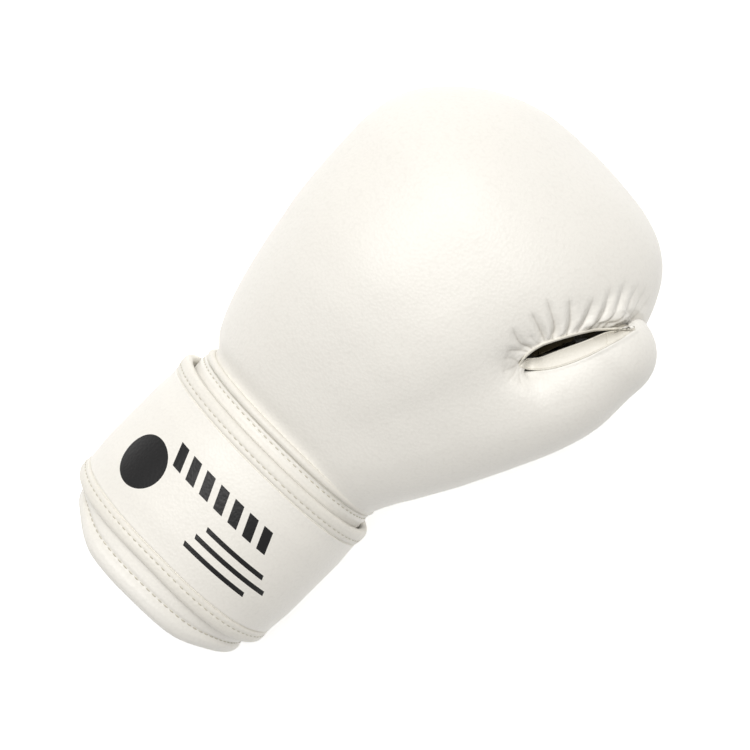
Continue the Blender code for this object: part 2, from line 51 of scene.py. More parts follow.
# ------------------------------------------------------------------ the glove's design, mm
HAND = np.array([
    (-52, 58.0, -41.0, 46.5, 50.5), (-42, 58.8, -41.5, 47.5, 51.0), (-34, 64.6, -42.0, 50.5, 52.5), (-20, 70.5, -42.5, 55.0, 55.0),
    (0, 75.7, -41.5, 60.5, 59.0), (20, 79.2, -39.0, 64.5, 62.6), (40, 82.0, -34.0, 66.6, 64.8), (50, 82.9, -31.0, 67.0, 65.0),
    (57, 83.3, -50.0, 67.2, 65.0), (64, 83.6, -65.0, 67.2, 65.0), (76, 84.0, -72.5, 67.0, 65.0), (90, 82.4, -72.0, 64.5, 65.0),
    (102, 78.0, -69.5, 59.5, 65.0), (114, 69.0, -64.6, 51.0, 65.0), (123, 59.0, -59.0, 42.0, 65.0), (130, 48.0, -51.0, 32.5, 65.0),
    (136, 33.0, -37.0, 20.0, 65.0), (139, 18.0, -20.0, 11.0, 65.0), (140.3, 2.0, -4.0, 2.0, 65.0)], float)
THUMB = np.array([
    (-44, -16.0, 66.0, 18.0), (-20, -28.5, 72.0, 25.5), (0, -37.0, 77.0, 27.5), (30, -50.0, 85.0, 27.6),
    (56, -59.3, 90.2, 25.4), (79, -62.5, 93.0, 22.5), (102, -65.0, 95.0, 22.5)], float)
SPACE = np.array([
    (-52, 43.0, -29.0, 36.0, 50.0), (-20, 40.0, -27.0, 38.0, 55.0), (10, 37.0, -22.0, 42.0, 61.0), (40, 36.0, -17.0, 43.0, 64.5),
    (56, 36.0, -15.0, 43.0, 65.0), (62, 36.0, -30.0, 43.0, 65.0), (70, 36.0, -41.0, 42.5, 65.0), (84, 33.0, -42.0, 41.0, 65.0),
    (96, 24.0, -34.0, 34.0, 65.0), (103, 10.0, -18.0, 20.0, 65.0), (105, -2.0, -6.0, 2.0, 65.0)], float)
ROUND = 2.35
CUT_X = 51.0  # the thumb is free of the hand past here
CUFF_MID, CUFF_HALF, CUFF_POWER = (8.9, 48.5), (52.6, 49.5), 2.2
STRAP_CUTS = (225.0, 183.0, 130.0, 77.0, 24.0, -40.0)
STRAP_X = (-126.0, -53.0)


def curve(t, y, x):
    """Monotone cubic through points."""
    t, y = np.asarray(t, float), np.asarray(y, float)
    step = np.diff(t)
    slope = np.diff(y) / step
    m = np.zeros(len(t))
    for i in range(1, len(t) - 1):
        if slope[i - 1] * slope[i] > 0:
            w1, w2 = 2 * step[i] + step[i - 1], step[i] + 2 * step[i - 1]
            m[i] = (w1 + w2) / (w1 / slope[i - 1] + w2 / slope[i])
    m[0], m[-1] = slope[0], slope[-1]
    x = np.clip(np.asarray(x, float), t[0], t[-1])
    k = np.clip(np.searchsorted(t, x, side="right") - 1, 0, len(t) - 2)
    h = step[k]
    s = (x - t[k]) / h
    return (2 * s**3 - 3 * s**2 + 1) * y[k] + (s**3 - 2 * s**2 + s) * h * m[k] + (3 * s**2 - 2 * s**3) * y[k + 1] + (s**3 - s**2) * h * m[k + 1]


def ramp(x, a, b):
    t = np.clip((np.asarray(x, float) - a) / (b - a), 0, 1)
    return t * t * (3 - 2 * t)


def smin(a, b, k):
    h = np.clip(0.5 + 0.5 * (b - a) / k, 0, 1)
    return b + (a - b) * h - k * h * (1 - h)


def smax(a, b, k):
    return -smin(-a, -b, k)


# Palm side of the upper half, where the skin runs smoothly over the root of the thumb: station, side
UPPER_PALM = np.array([(-52, -41.0), (-42, -42.0), (-20, -46.0), (0, -50.5), (20, -54.5), (40, -59.0), (57, -64.0), (64, -67.5), (76, -72.5), (90, -72.0), (102, -69.5), (114, -64.6)], float)


def section_ray(x, y, z, table, power, upper=None):
    """Distance outside a lofted rounded section, measured along the ray from its middle."""
    along = np.linspace(table[0, 0], table[-1, 0], 900)
    back, palm, half, mid = (np.interp(x, along, curve(table[:, 0], table[:, c], along)) for c in (1, 2, 3, 4))
    if upper is not None:
        high = np.interp(x, along, np.minimum(curve(upper[:, 0], upper[:, 1], along), 0))
        high = np.where(x > 108, palm, high)
        palm = palm + (high - palm) * ramp(z, 62, 96)
    across, up = y - (back + palm) / 2, z - mid
    rho = (np.abs(across / ((back - palm) / 2)) ** power + np.abs(up / half) ** power) ** (1 / power)
    return np.hypot(across, up) * (1 - 1 / np.maximum(rho, 0.02))


def thumb_ray(x, y, z, shrink=0.0):
    along = np.linspace(THUMB[0, 0], THUMB[-1, 0], 900)
    cy, cz, r = (np.interp(x, along, curve(THUMB[:, 0], THUMB[:, c], along)) for c in (1, 2, 3))
    return np.hypot(np.hypot(y - cy, z - cz), np.maximum(x - 79.0, 0)) - r + shrink


def blur(v, sigma):
    """Gaussian blur along each axis, the ends held."""
    reach = int(3 * sigma + 0.5)
    taps = np.exp(-0.5 * (np.arange(-reach, reach + 1) / sigma) ** 2)
    taps /= taps.sum()
    for axis in range(3):
        pad = [(0, 0)] * 3
        pad[axis] = (reach, reach)
        wide = np.pad(v, pad, mode="edge")
        out = np.zeros_like(v)
        for i, w in enumerate(taps):
            cut = [slice(None)] * 3
            cut[axis] = slice(i, i + v.shape[axis])
            out += w * wide[tuple(cut)]
        v = out
    return v


def nets(v, low, h):
    """Surface nets: the zero surface of a sampled field, as points and quads facing out."""
    shape = np.array(v.shape)
    cell = tuple(shape - 1)
    count = np.zeros(np.prod(cell))
    total = np.zeros((3, np.prod(cell)))
    edges = []
    for axis in range(3):
        lo, hi = [slice(None)] * 3, [slice(None)] * 3
        lo[axis], hi[axis] = slice(0, -1), slice(1, None)
        a, b = v[tuple(lo)], v[tuple(hi)]
        hit = (a < 0) != (b < 0)
        index = np.argwhere(hit)
        at, bt = a[hit], b[hit]
        point = index.astype(float)
        point[:, axis] += at / (at - bt)
        p, q = [o for o in range(3) if o != axis]
        corners = []
        good = np.ones(len(index), bool)
        for dp, dq in ((0, 0), (-1, 0), (-1, -1), (0, -1)):
            c = index.copy()
            c[:, p] += dp
            c[:, q] += dq
            good &= (c >= 0).all(1) & (c < np.array(cell)).all(1)
            corners.append(c)
        for c in corners:
            c = np.clip(c, 0, np.array(cell) - 1)
            flat = np.ravel_multi_index(c.T, cell)
            count += np.bincount(flat[good], minlength=len(count))
            for k in range(3):
                total[k] += np.bincount(flat[good], weights=point[good, k], minlength=len(count))
        quad = np.stack([np.ravel_multi_index(np.clip(c, 0, np.array(cell) - 1).T, cell) for c in corners], 1)[good]
        flip = (at[good] < 0) if axis != 1 else (at[good] >= 0)
        quad[~flip] = quad[~flip][:, ::-1]
        edges.append(quad)
    quads = np.concatenate(edges)
    used, inverse = np.unique(quads, return_inverse=True)
    points = (total[:, used] / np.maximum(count[used], 1)).T * h + np.array(low)
    return points, inverse.reshape(-1, 4)


def neighbours(faces, n):
    pairs = np.concatenate([faces[:, [i, (i + 1) % faces.shape[1]]] for i in range(faces.shape[1])])
    pairs = np.concatenate([pairs, pairs[:, ::-1]])
    key = np.unique(pairs[:, 0].astype(np.int64) * n + pairs[:, 1])
    return key // n, key % n


def relax(points, faces, rounds=3, lam=0.5, mu=-0.53, weight=None):
    """Taubin smoothing."""
    a, b = neighbours(faces, len(points))
    degree = np.maximum(np.bincount(a, minlength=len(points)), 1)
    for k in range(rounds * 2):
        mean = np.stack([np.bincount(a, weights=points[b, c], minlength=len(points)) for c in range(3)], 1) / degree[:, None]
        move = (mean - points) * (lam if k % 2 == 0 else mu)
        points = points + (move if weight is None else move * weight[:, None])
    return points


# ------------------------------------------------------------------ camera, floor, light
def camera():
    data = bpy.data.cameras.new("camera")
    item = bpy.data.objects.new("camera", data)
    bpy.context.scene.collection.objects.link(item)
    data.sensor_width = 36.0
    data.lens = CAMERA["lens"]
    data.clip_start, data.clip_end = 0.01, 50
    place, aim = Vector(CAMERA["place"]), Vector(CAMERA["aim"])
    look = (aim - place).normalized()
    roll = math.radians(CAMERA["roll"])
    right = Vector((math.cos(roll), -math.sin(roll), 0))
    right = (right - look * right.dot(look)).normalized()
    up = right.cross(look)
    rotation = Matrix((right, up, -look)).transposed().to_4x4()
    item.matrix_world = Matrix.Translation(place) @ rotation
    bpy.context.scene.camera = item


CAMERA = {"place": (0.0615, 0.0, 0.855), "aim": (0.0018, 0.0, 0.065), "roll": 45.0, "lens": 84.5}
camera()


def lights():
    world = bpy.data.worlds.new("studio")
    bpy.context.scene.world = world
    world.use_nodes = True
    back = world.node_tree.nodes["Background"]
    back.inputs["Color"].default_value = (1.0, 0.975, 0.935, 1)
    back.inputs["Strength"].default_value = 0.22
    for name, place, size, power, colour in (
        ("key", (0.25, 0.41, 1.65), 1.15, 25.6, (1.0, 0.988, 0.968)),
        ("fill", (1.2, 0.5, 0.9), 1.2, 2.2, (1.0, 0.99, 0.98)),
    ):
        data = bpy.data.lights.new(name, "AREA")
        data.shape, data.size, data.energy, data.color = "SQUARE", size, power, colour
        item = bpy.data.objects.new(name, data)
        bpy.context.scene.collection.objects.link(item)
        item.location = place
        item.rotation_mode = "QUATERNION"
        item.rotation_quaternion = (Vector((0, 0, 0.05)) - Vector(place)).to_track_quat("-Z", "Y")
    bpy.context.scene.view_settings.view_transform = "Standard"
    bpy.context.scene.view_settings.look = "None"


lights()


# ------------------------------------------------------------------ materials
class Nodes:
    """Small helper for building a material's node tree."""

    def __init__(self, name):
        self.material = bpy.data.materials.new(name)
        self.material.use_nodes = True
        self.tree = self.material.node_tree
        self.shader = self.tree.nodes["Principled BSDF"]

    def add(self, kind, **values):
        node = self.tree.nodes.new(kind)
        for key, value in values.items():
            if key.startswith("in_"):
                node.inputs[key[3:].replace("_", " ")].default_value = value
            else:
                setattr(node, key, value)
        return node

    def link(self, a, b):
        self.tree.links.new(a, b)

    def math(self, kind, a, b=None, clamp=False):
        node = self.tree.nodes.new("ShaderNodeMath")
        node.operation, node.use_clamp = kind, clamp
        for i, value in enumerate((a, b)):
            if value is None:
                continue
            if isinstance(value, (int, float)):
                node.inputs[i].default_value = value
            else:
                self.link(value, node.inputs[i])
        return node.outputs[0]

    def mix(self, factor, a, b, kind="MIX"):
        node = self.tree.nodes.new("ShaderNodeMix")
        node.data_type, node.blend_type = "RGBA", kind
        for socket, value in ((node.inputs[0], factor), (node.inputs[6], a), (node.inputs[7], b)):
            if isinstance(value, (tuple, list)):
                socket.default_value = (*value, 1)
            elif isinstance(value, (int, float)):
                socket.default_value = value
            else:
                self.link(value, socket)
        return node.outputs[2]

    def rest(self):
        return self.add("ShaderNodeAttribute", attribute_name="rest").outputs["Vector"]

    def attribute(self, name):
        return self.add("ShaderNodeAttribute", attribute_name=name).outputs["Fac"]


def leather(name, colour, dark, roughness=0.46, grain=0.32, bump=0.25, print_mask=False, hand=False):
    n = Nodes(name)
    where = n.rest()
    pebble = n.add("ShaderNodeTexVoronoi", feature="SMOOTH_F1", in_Scale=780.0, in_Smoothness=0.6)
    n.link(where, pebble.inputs["Vector"])
    fine = n.add("ShaderNodeTexNoise", in_Scale=1500.0, in_Detail=3.0, in_Roughness=0.6)
    n.link(where, fine.inputs["Vector"])
    broad = n.add("ShaderNodeTexNoise", in_Scale=16.0, in_Detail=3.0, in_Roughness=0.5)
    n.link(where, broad.inputs["Vector"])
    creases = n.add("ShaderNodeTexNoise", in_Scale=60.0, in_Detail=4.0, in_Roughness=0.55, in_Distortion=0.4)
    n.link(where, creases.inputs["Vector"])
    height = n.math("ADD", n.math("MULTIPLY", pebble.outputs["Distance"], 0.7), n.math("MULTIPLY", fine.outputs["Fac"], 0.3))
    height = n.math("ADD", height, n.math("MULTIPLY", creases.outputs["Fac"], 0.9))
    bumps = n.add("ShaderNodeBump", in_Strength=bump, in_Distance=0.0006)
    n.link(height, bumps.inputs["Height"])
    n.link(bumps.outputs["Normal"], n.shader.inputs["Normal"])
    tone = n.math("MULTIPLY", n.math("SUBTRACT", broad.outputs["Fac"], 0.35, True), 0.5, True)
    base = n.mix(tone, colour, dark)
    speck = n.math("MULTIPLY", n.math("SUBTRACT", pebble.outputs["Distance"], 0.45, True), grain, True)
    base = n.mix(speck, base, tuple(c * 0.8 for c in dark))
    if hand:
        base = n.mix(n.attribute("facing"), base, (0.80, 0.765, 0.67))
        # Painted shade: the dark attribute tints the leather toward dark brown along seam grooves, at the bottoms of
        # the gather creases and deeper inside the slit.
        base = n.mix(n.attribute("dark"), base, (0.16, 0.13, 0.08))
        # Painted shade: near-black colour deep inside the slit, where the slot lies in shadow.
        base = n.mix(n.attribute("slot_painted_shade"), base, (0.07, 0.055, 0.028))
    if print_mask:
        base = n.mix(print_pattern(n), base, (0.012, 0.012, 0.013))
    n.link(base, n.shader.inputs["Base Color"])
    rough = n.math("ADD", n.math("MULTIPLY", broad.outputs["Fac"], 0.12), roughness - 0.06)
    n.link(rough, n.shader.inputs["Roughness"])
    n.shader.inputs["Specular IOR Level"].default_value = 0.42
    n.shader.inputs["Sheen Weight"].default_value = 0.06
    n.shader.inputs["Sheen Roughness"].default_value = 0.5
    return n.material


def print_pattern(n):
    """Plain printed marks on the strap: a disc, a row of slanted bars and three lines. u runs round the strap, v along the glove, mm."""
    u, v = n.attribute("print_u"), n.attribute("print_v")

    def within(value, low, high):
        return n.math("MULTIPLY", n.math("GREATER_THAN", value, low), n.math("LESS_THAN", value, high))

    u = n.math("MULTIPLY", u, -1.0)
    slant = n.math("ADD", u, n.math("MULTIPLY", v, 0.45))
    repeat = n.math("FRACT", n.math("DIVIDE", n.math("ADD", slant, 400.0), 8.6))
    bars = n.math("MULTIPLY", within(v, -86.0, -76.0), n.math("MULTIPLY", within(slant, -64.7, -5.0), n.math("LESS_THAN", repeat, 0.6)))
    total = bars
    for low, high, first, last in ((-95.6, -93.4, 6.0, 40.0), (-101.2, -99.0, 2.0, 44.0), (-106.8, -104.6, -2.0, 34.0)):
        total = n.math("MAXIMUM", total, n.math("MULTIPLY", within(v, low, high), within(slant, first - 44.0, last - 44.0)))
    du, dv = n.math("ADD", u, 38.0), n.math("ADD", v, 95.0)
    r = n.math("SQRT", n.math("ADD", n.math("MULTIPLY", du, du), n.math("MULTIPLY", dv, dv)))
    disc = n.math("LESS_THAN", r, 12.5)
    return n.math("MAXIMUM", total, disc)


def cloth(name, colour, dark, scale=900.0, bump=0.4, roughness=0.85, sheen=0.3):
    n = Nodes(name)
    where = n.rest()
    wave_a = n.add("ShaderNodeTexWave", wave_type="BANDS", bands_direction="X", in_Scale=scale / 3)
    wave_b = n.add("ShaderNodeTexWave", wave_type="BANDS", bands_direction="Z", in_Scale=scale / 3)
    for wave in (wave_a, wave_b):
        n.link(where, wave.inputs["Vector"])
    fold = n.add("ShaderNodeTexNoise", in_Scale=40.0, in_Detail=4.0, in_Distortion=0.6)
    n.link(where, fold.inputs["Vector"])
    weave = n.math("MULTIPLY", wave_a.outputs["Fac"], wave_b.outputs["Fac"])
    height = n.math("ADD", weave, n.math("MULTIPLY", fold.outputs["Fac"], 2.0))
    bumps = n.add("ShaderNodeBump", in_Strength=bump, in_Distance=0.0006)
    n.link(height, bumps.inputs["Height"])
    n.link(bumps.outputs["Normal"], n.shader.inputs["Normal"])
    base = n.mix(n.math("MULTIPLY", weave, 0.6), dark, colour)
    base = n.mix(n.math("MULTIPLY", fold.outputs["Fac"], 0.5), base, dark)
    n.link(base, n.shader.inputs["Base Color"])
    n.shader.inputs["Roughness"].default_value = roughness
    n.shader.inputs["Sheen Weight"].default_value = sheen
    n.shader.inputs["Specular IOR Level"].default_value = 0.25
    return n.material


WHITE, SHADE = (0.868, 0.850, 0.806), (0.808, 0.785, 0.728)
LEATHER = leather("white_leather", WHITE, SHADE, hand=True)
STRAP = leather("strap_leather", (0.885, 0.865, 0.817), (0.832, 0.807, 0.752), print_mask=True)
BINDING = leather("binding_leather", (0.84, 0.815, 0.755), (0.77, 0.745, 0.68), roughness=0.5, grain=0.4)
FACING = leather("facing_leather", (0.80, 0.775, 0.70), (0.72, 0.69, 0.60), roughness=0.5, bump=0.12)
LINING = cloth("lining_cloth", (0.30, 0.265, 0.20), (0.16, 0.14, 0.10))
BAR = cloth("grip_cloth", (0.26, 0.23, 0.18), (0.13, 0.115, 0.09))
THREAD = cloth("cream_thread", (0.74, 0.71, 0.61), (0.58, 0.55, 0.46), scale=3000.0, bump=0.3, roughness=0.7)
HOOK = cloth("hook_and_loop_tape", (0.05, 0.05, 0.05), (0.02, 0.02, 0.02), scale=1400.0, bump=0.8, roughness=0.95)


def stage():
    n = Nodes("floor")
    broad = n.add("ShaderNodeTexNoise", in_Scale=3.0, in_Detail=2.0)
    base = n.mix(n.math("MULTIPLY", broad.outputs["Fac"], 0.15), (0.93, 0.93, 0.925), (0.90, 0.90, 0.90))
    n.link(base, n.shader.inputs["Base Color"])
    n.shader.inputs["Roughness"].default_value = 0.9
    n.shader.inputs["Emission Color"].default_value = (1, 1, 1, 1)
    n.shader.inputs["Emission Strength"].default_value = 0.5
    bm = bmesh.new()
    bmesh.ops.create_grid(bm, x_segments=4, y_segments=4, size=3.0)
    mesh = bpy.data.meshes.new("floor")
    bm.to_mesh(mesh)
    bm.free()
    item = bpy.data.objects.new("floor", mesh)
    bpy.context.scene.collection.objects.link(item)
    item.location = (0, 0, -0.0006)
    mesh.materials.append(n.material)


stage()


# ------------------------------------------------------------------ mesh helpers
def piece(name, points, faces, materials, kinds=None, attributes=None, normals=None):
    """A mesh object from points in millimetres."""
    points = np.asarray(points, float).copy()
    points[:, 0] += DX
    mesh = bpy.data.meshes.new(name)
    mesh.from_pydata((points * MM).tolist(), [], [list(map(int, f)) for f in faces])
    for material in materials if isinstance(materials, (list, tuple)) else [materials]:
        mesh.materials.append(material)
    mesh.shade_smooth()
    if kinds is not None:
        mesh.polygons.foreach_set("material_index", np.asarray(kinds, np.int32))
    rest = mesh.attributes.new("rest", "FLOAT_VECTOR", "POINT")
    rest.data.foreach_set("vector", (points * MM).astype(np.float32).ravel())
    for key, values in (attributes or {}).items():
        item = mesh.attributes.new(key, "FLOAT", "POINT")
        item.data.foreach_set("value", np.asarray(values, np.float32))
    if normals is not None:
        mesh.normals_split_custom_set_from_vertices([tuple(v) for v in normals])
    mesh.update()
    item = bpy.data.objects.new(name, mesh)
    bpy.context.scene.collection.objects.link(item)
    return item


def grid_faces(rows, columns, wrap_columns=False, wrap_rows=False):
    i = np.arange(rows if wrap_rows else rows - 1)
    j = np.arange(columns if wrap_columns else columns - 1)
    i, j = np.meshgrid(i, j, indexing="ij")
    i, j = i.ravel(), j.ravel()
    ni, nj = (i + 1) % rows, (j + 1) % columns
    return np.stack([i * columns + j, ni * columns + j, ni * columns + nj, i * columns + nj], 1)


def sweep_tube(path, radius, sides=10, closed=False, flat=1.0):
    """Tube along a path of points, its ends closed with rounded caps. radius may vary."""
    path = np.asarray(path, float)
    n = len(path)
    radius = np.broadcast_to(np.asarray(radius, float), (n,))
    if closed:
        ahead, behind = np.roll(path, -1, 0), np.roll(path, 1, 0)
        tangent = ahead - behind
    else:
        tangent = np.gradient(path, axis=0)
    tangent /= np.linalg.norm(tangent, axis=1)[:, None]
    guide = np.array([1.0, 0, 0]) if abs(tangent[0][0]) < 0.9 else np.array([0, 0, 1.0])
    side = []
    for t in tangent:
        guide = guide - t * (guide @ t)
        guide /= np.linalg.norm(guide)
        side.append(guide)
    side = np.array(side)
    other = np.cross(tangent, side)
    a = np.linspace(0, 2 * math.pi, sides, endpoint=False)
    rings = path[:, None] + radius[:, None, None] * (np.cos(a)[None, :, None] * side[:, None] * flat + np.sin(a)[None, :, None] * other[:, None])
    if closed:
        return rings.reshape(-1, 3), grid_faces(n, sides, True, True)
    caps = []
    for end, sign in ((0, -1), (n - 1, 1)):
        for k in (0.45, 0.85):
            c = path[end] + sign * tangent[end] * radius[end] * k
            caps.append(c + (rings[end] - path[end]) * math.sqrt(1 - k * k))
    allrings = np.array([caps[1], caps[0], *rings, caps[2], caps[3]])
    m = len(allrings)
    points = allrings.reshape(-1, 3)
    faces = grid_faces(m, sides, True).tolist()
    points = np.vstack([points, allrings[0].mean(0), allrings[-1].mean(0)])
    for j in range(sides):
        faces.append([len(points) - 2, j, (j + 1) % sides])
        faces.append([len(points) - 1, (m - 1) * sides + (j + 1) % sides, (m - 1) * sides + j])
    return points, faces


def join(parts):
    """Several (points, faces) as one."""
    points, faces, offset = [], [], 0
    for p, f in parts:
        points.append(np.asarray(p, float))
        faces += [[int(v) + offset for v in face] for face in f]
        offset += len(p)
    return np.vstack(points), faces


def dashes(path, normals, length=2.3, gap=1.25, width=0.27, lift=0.06, closed=False):
    """A row of stitches along a path, each a small rounded dash lying on the surface."""
    path, normals = np.asarray(path, float), np.asarray(normals, float)
    if closed:
        path, normals = np.vstack([path, path[:1]]), np.vstack([normals, normals[:1]])
    run = np.concatenate([[0], np.cumsum(np.linalg.norm(np.diff(path, axis=0), axis=1))])
    count = max(1, int(run[-1] / (length + gap)))
    pitch = run[-1] / count
    out = []
    for k in range(count):
        s = np.linspace(k * pitch + gap / 2, (k + 1) * pitch - gap / 2, 5)
        p = np.stack([np.interp(s, run, path[:, c]) for c in range(3)], 1)
        m = np.stack([np.interp(s, run, normals[:, c]) for c in range(3)], 1)
        m /= np.linalg.norm(m, axis=1)[:, None]
        arch = lift - 0.35 * (np.abs(np.linspace(-1, 1, 5)) ** 3)
        out.append(sweep_tube(p + m * arch[:, None], [width * 0.6, width, width, width, width * 0.6], sides=6))
    return join(out)


def smooth_lists(points, closed=False, step=0.5):
    """A smooth curve through design points, as evenly spaced points."""
    p = np.asarray(points, float)
    if closed:
        p = np.vstack([p[-3:], p, p[:4]])
    run = np.concatenate([[0], np.cumsum(np.linalg.norm(np.diff(p, axis=0), axis=1))])
    first, last = (run[3], run[-4]) if closed else (0, run[-1])
    s = np.linspace(first, last, max(6, int((last - first) / step)))
    out = []
    for c in range(p.shape[1]):
        m = np.gradient(p[:, c], run)
        k = np.clip(np.searchsorted(run, s, side="right") - 1, 0, len(run) - 2)
        h = run[k + 1] - run[k]
        t = (s - run[k]) / h
        out.append(
            (2 * t**3 - 3 * t**2 + 1) * p[k, c] + (t**3 - 2 * t**2 + t) * h * m[k] + (3 * t**2 - 2 * t**3) * p[k + 1, c] + (t**3 - t**2) * h * m[k + 1]
        )
    return np.stack(out, 1)


def near(points, line):
    """Distance to a polyline, how far along it the nearest place is (0 to 1), and the side (+ on its left)."""
    a, b = line[:-1], line[1:]
    d = b - a
    length = np.linalg.norm(d, axis=1)
    run = np.concatenate([[0], np.cumsum(length)])
    best = np.full(len(points), 1e9)
    where = np.zeros(len(points))
    side = np.ones(len(points))
    for i in range(len(a)):
        v = points - a[i]
        t = np.clip(v @ d[i] / max(length[i] ** 2, 1e-9), 0, 1)
        gap = np.linalg.norm(v - t[:, None] * d[i], axis=1)
        closer = gap < best
        best[closer] = gap[closer]
        where[closer] = (run[i] + t[closer] * length[i]) / run[-1]
        side[closer] = np.sign(d[i][0] * v[closer, 1] - d[i][1] * v[closer, 0])
    return best, where, side


def trilinear(v, low, h, p):
    q = (p - low) / h
    i = np.clip(np.floor(q).astype(int), 0, np.array(v.shape) - 2)
    f = q - i
    out = 0
    for dx in (0, 1):
        for dy in (0, 1):
            for dz in (0, 1):
                w = (f[:, 0] if dx else 1 - f[:, 0]) * (f[:, 1] if dy else 1 - f[:, 1]) * (f[:, 2] if dz else 1 - f[:, 2])
                out = out + w * v[i[:, 0] + dx, i[:, 1] + dy, i[:, 2] + dz]
    return out


def unit(v, h):
    g = np.gradient(v, h)
    return v / np.clip(np.sqrt(g[0] ** 2 + g[1] ** 2 + g[2] ** 2), 0.5, 6)


def vertex_normals(points, faces):
    n = np.zeros_like(points)
    for f in faces if isinstance(faces, list) else [faces]:
        f = np.asarray(f)
        k = f.shape[1]
        if k == 4:
            c = np.cross(points[f[:, 2]] - points[f[:, 0]], points[f[:, 3]] - points[f[:, 1]])
        else:
            c = np.cross(points[f[:, 1]] - points[f[:, 0]], points[f[:, 2]] - points[f[:, 0]])
        for i in range(k):
            for axis in range(3):
                n[:, axis] += np.bincount(f[:, i], weights=c[:, axis], minlength=len(points))
    return n / np.maximum(np.linalg.norm(n, axis=1), 1e-9)[:, None]


def by_size(mesh_faces):
    sizes = {}
    for f in mesh_faces:
        sizes.setdefault(len(f), []).append(f)
    return sizes


# ------------------------------------------------------------------ the hand: one padded skin
# Places on the thumb side that the slit, its facing and the gathers follow, (x, y) mm
SLIT_LINE = [(44, -39), (51, -40.3), (57.5, -41.2), (61, -42.2), (66, -45.0), (72.5, -49.0), (79, -52.8), (84, -56.2), (90, -60.2), (96, -64), (102, -67)]
UPPER_LIP = [(51.0, -40.3), (55.0, -39.4), (59.4, -39.6), (63.5, -40.6), (68.4, -42.9), (77.9, -48.3), (83.8, -52.4), (87.4, -55.7), (92.0, -60.0), (95.8, -63.9)]
LOWER_SEAM = [(51.0, -40.3), (52.4, -43.5), (54.9, -46.4), (60.4, -50.8), (66.9, -54.3), (73.9, -57.2), (81.6, -59.7), (90.2, -62.2), (95.8, -63.9)]
INNER_EDGE = [(53.0, -39.9), (55.2, -40.5), (56.7, -42.0), (58.9, -43.9), (62.0, -45.4), (66.2, -47.2), (71.6, -49.7), (76.9, -52.2), (82.4, -54.6), (86.8, -56.7), (90.8, -59.8), (95.0, -63.3)]
CROSS_SEAM = [(86.8, -56.6), (84.6, -58.3), (82.2, -60.0)]
# Each gather: its line from the lip outward, its depth at the lip
GATHERS = [
    ([(57.0, -39.0), (54.3, -35.5), (51.0, -31.5)], 0.95),
    ([(59.3, -39.2), (57.6, -35.0), (58.6, -30.0), (60.5, -25.5)], 1.1),
    ([(65.4, -40.4), (66.9, -37.0), (68.6, -32.0), (70.4, -26.5)], 1.25),
    ([(68.4, -42.4), (71.8, -40.2), (75.6, -34.0), (78.8, -26.8)], 1.3),
    ([(73.6, -45.6), (77.6, -43.8), (82.0, -39.0), (85.6, -33.5)], 1.35),
    ([(77.4, -48.0), (82.0, -47.5), (88.0, -44.8), (93.6, -40.6)], 1.35),
    ([(81.4, -50.9), (86.0, -51.4), (93.0, -49.6), (102.4, -42.6)], 1.55),
    ([(84.3, -53.0), (90.0, -53.9), (98.5, -52.2), (109.2, -45.4)], 1.6),
    ([(86.6, -54.8), (93.0, -56.2), (102.0, -55.6), (113.2, -50.8)], 1.6),
    ([(89.4, -57.0), (96.0, -58.8), (104.0, -58.8), (114.5, -54.6)], 1.5),
    ([(92.2, -59.2), (98.0, -61.0), (105.0, -61.4), (112.6, -59.1)], 1.1),
    ([(75.4, -46.8), (78.8, -45.8), (82.0, -43.6)], 0.45),
    ([(63.0, -40.0), (62.6, -37.0), (63.2, -33.5)], 0.4),
    ([(51.4, -39.4), (50.4, -36.0), (48.2, -33.0)], 0.55),
    ([(50.0, -40.4), (46.6, -38.4), (43.2, -37.0)], 0.5),
    ([(49.6, -41.2), (46.0, -41.6), (42.0, -41.0)], 0.45),
    ([(50.4, -42.4), (47.6, -44.6), (45.6, -47.6)], 0.4),
]
VOXEL = 1.5
LOW = np.array([-50.0, -92.0, -3.5])
grid = np.meshgrid(*(LOW[k] + VOXEL * np.arange(n) for k, n in enumerate((130, 122, 95))), indexing="ij")
X, Y, Z = grid
hand = unit(smax(section_ray(X, Y, Z, HAND, ROUND, UPPER_PALM), X - 140.3, 1.0), VOXEL)
thumb = unit(thumb_ray(X, Y, Z), VOXEL)
hollow = unit(smax(section_ray(X, Y, Z, SPACE, 2.4), X - 105.0, 1.0), VOXEL) - 1.3

# Where the slit meets the surface, the two sides are made to part there
line = smooth_lists(SLIT_LINE, step=1.0)
probe_z = np.arange(84, 126, 0.5)
parting = []
for px, py in line:
    column = np.stack([np.full(len(probe_z), px), np.full(len(probe_z), py), probe_z], 1)
    a, b = trilinear(hand, LOW, VOXEL, column), trilinear(thumb, LOW, VOXEL, column)
    inside = np.where(np.minimum(a, b) < 0)[0]
    k = inside[-1] if len(inside) else 0
    parting.append((b[k] - a[k]) / 2)
shift = np.interp(X, line[:, 0], np.array(parting)) * (1 - ramp(X, 93, 99))
between = (hand - thumb) / 2 + shift
back = X - 13 * ramp(-Z, -108, -88)  # the web between thumb and palm reaches further forward lower down
slack = -9 + 9 * ramp(back, 44, 52) + 1.4 * ramp(back, 51.5, 57) - 12 * ramp(np.maximum(hand, thumb), 2.5, 6)
soft = 3 + 5 * ramp(X, 52, 62) - 4 * ramp(X, 74, 92)
fist_side = smax(hand, between + slack, soft)
thumb_side = smax(thumb, slack - between, 3.0)
skin = smin(fist_side, thumb_side, 18 - 17.2 * ramp(X, 43, 56))
skin = smax(skin, -hollow, 1.0)
skin = smax(skin, -47.4 - X, 2.5)
skin = smax(skin, -Z, 2.0)
skin = blur(skin.astype(np.float32), 0.7)
points, quads = nets(skin, LOW, VOXEL)
if np.einsum("ij,ij->i", points[quads[:, 0]], np.cross(points[quads[:, 1]], points[quads[:, 2]])).sum() < 0:
    quads = quads[:, ::-1]
points = relax(points, quads, 4)
del X, Y, Z, grid, fist_side, thumb_side, hollow


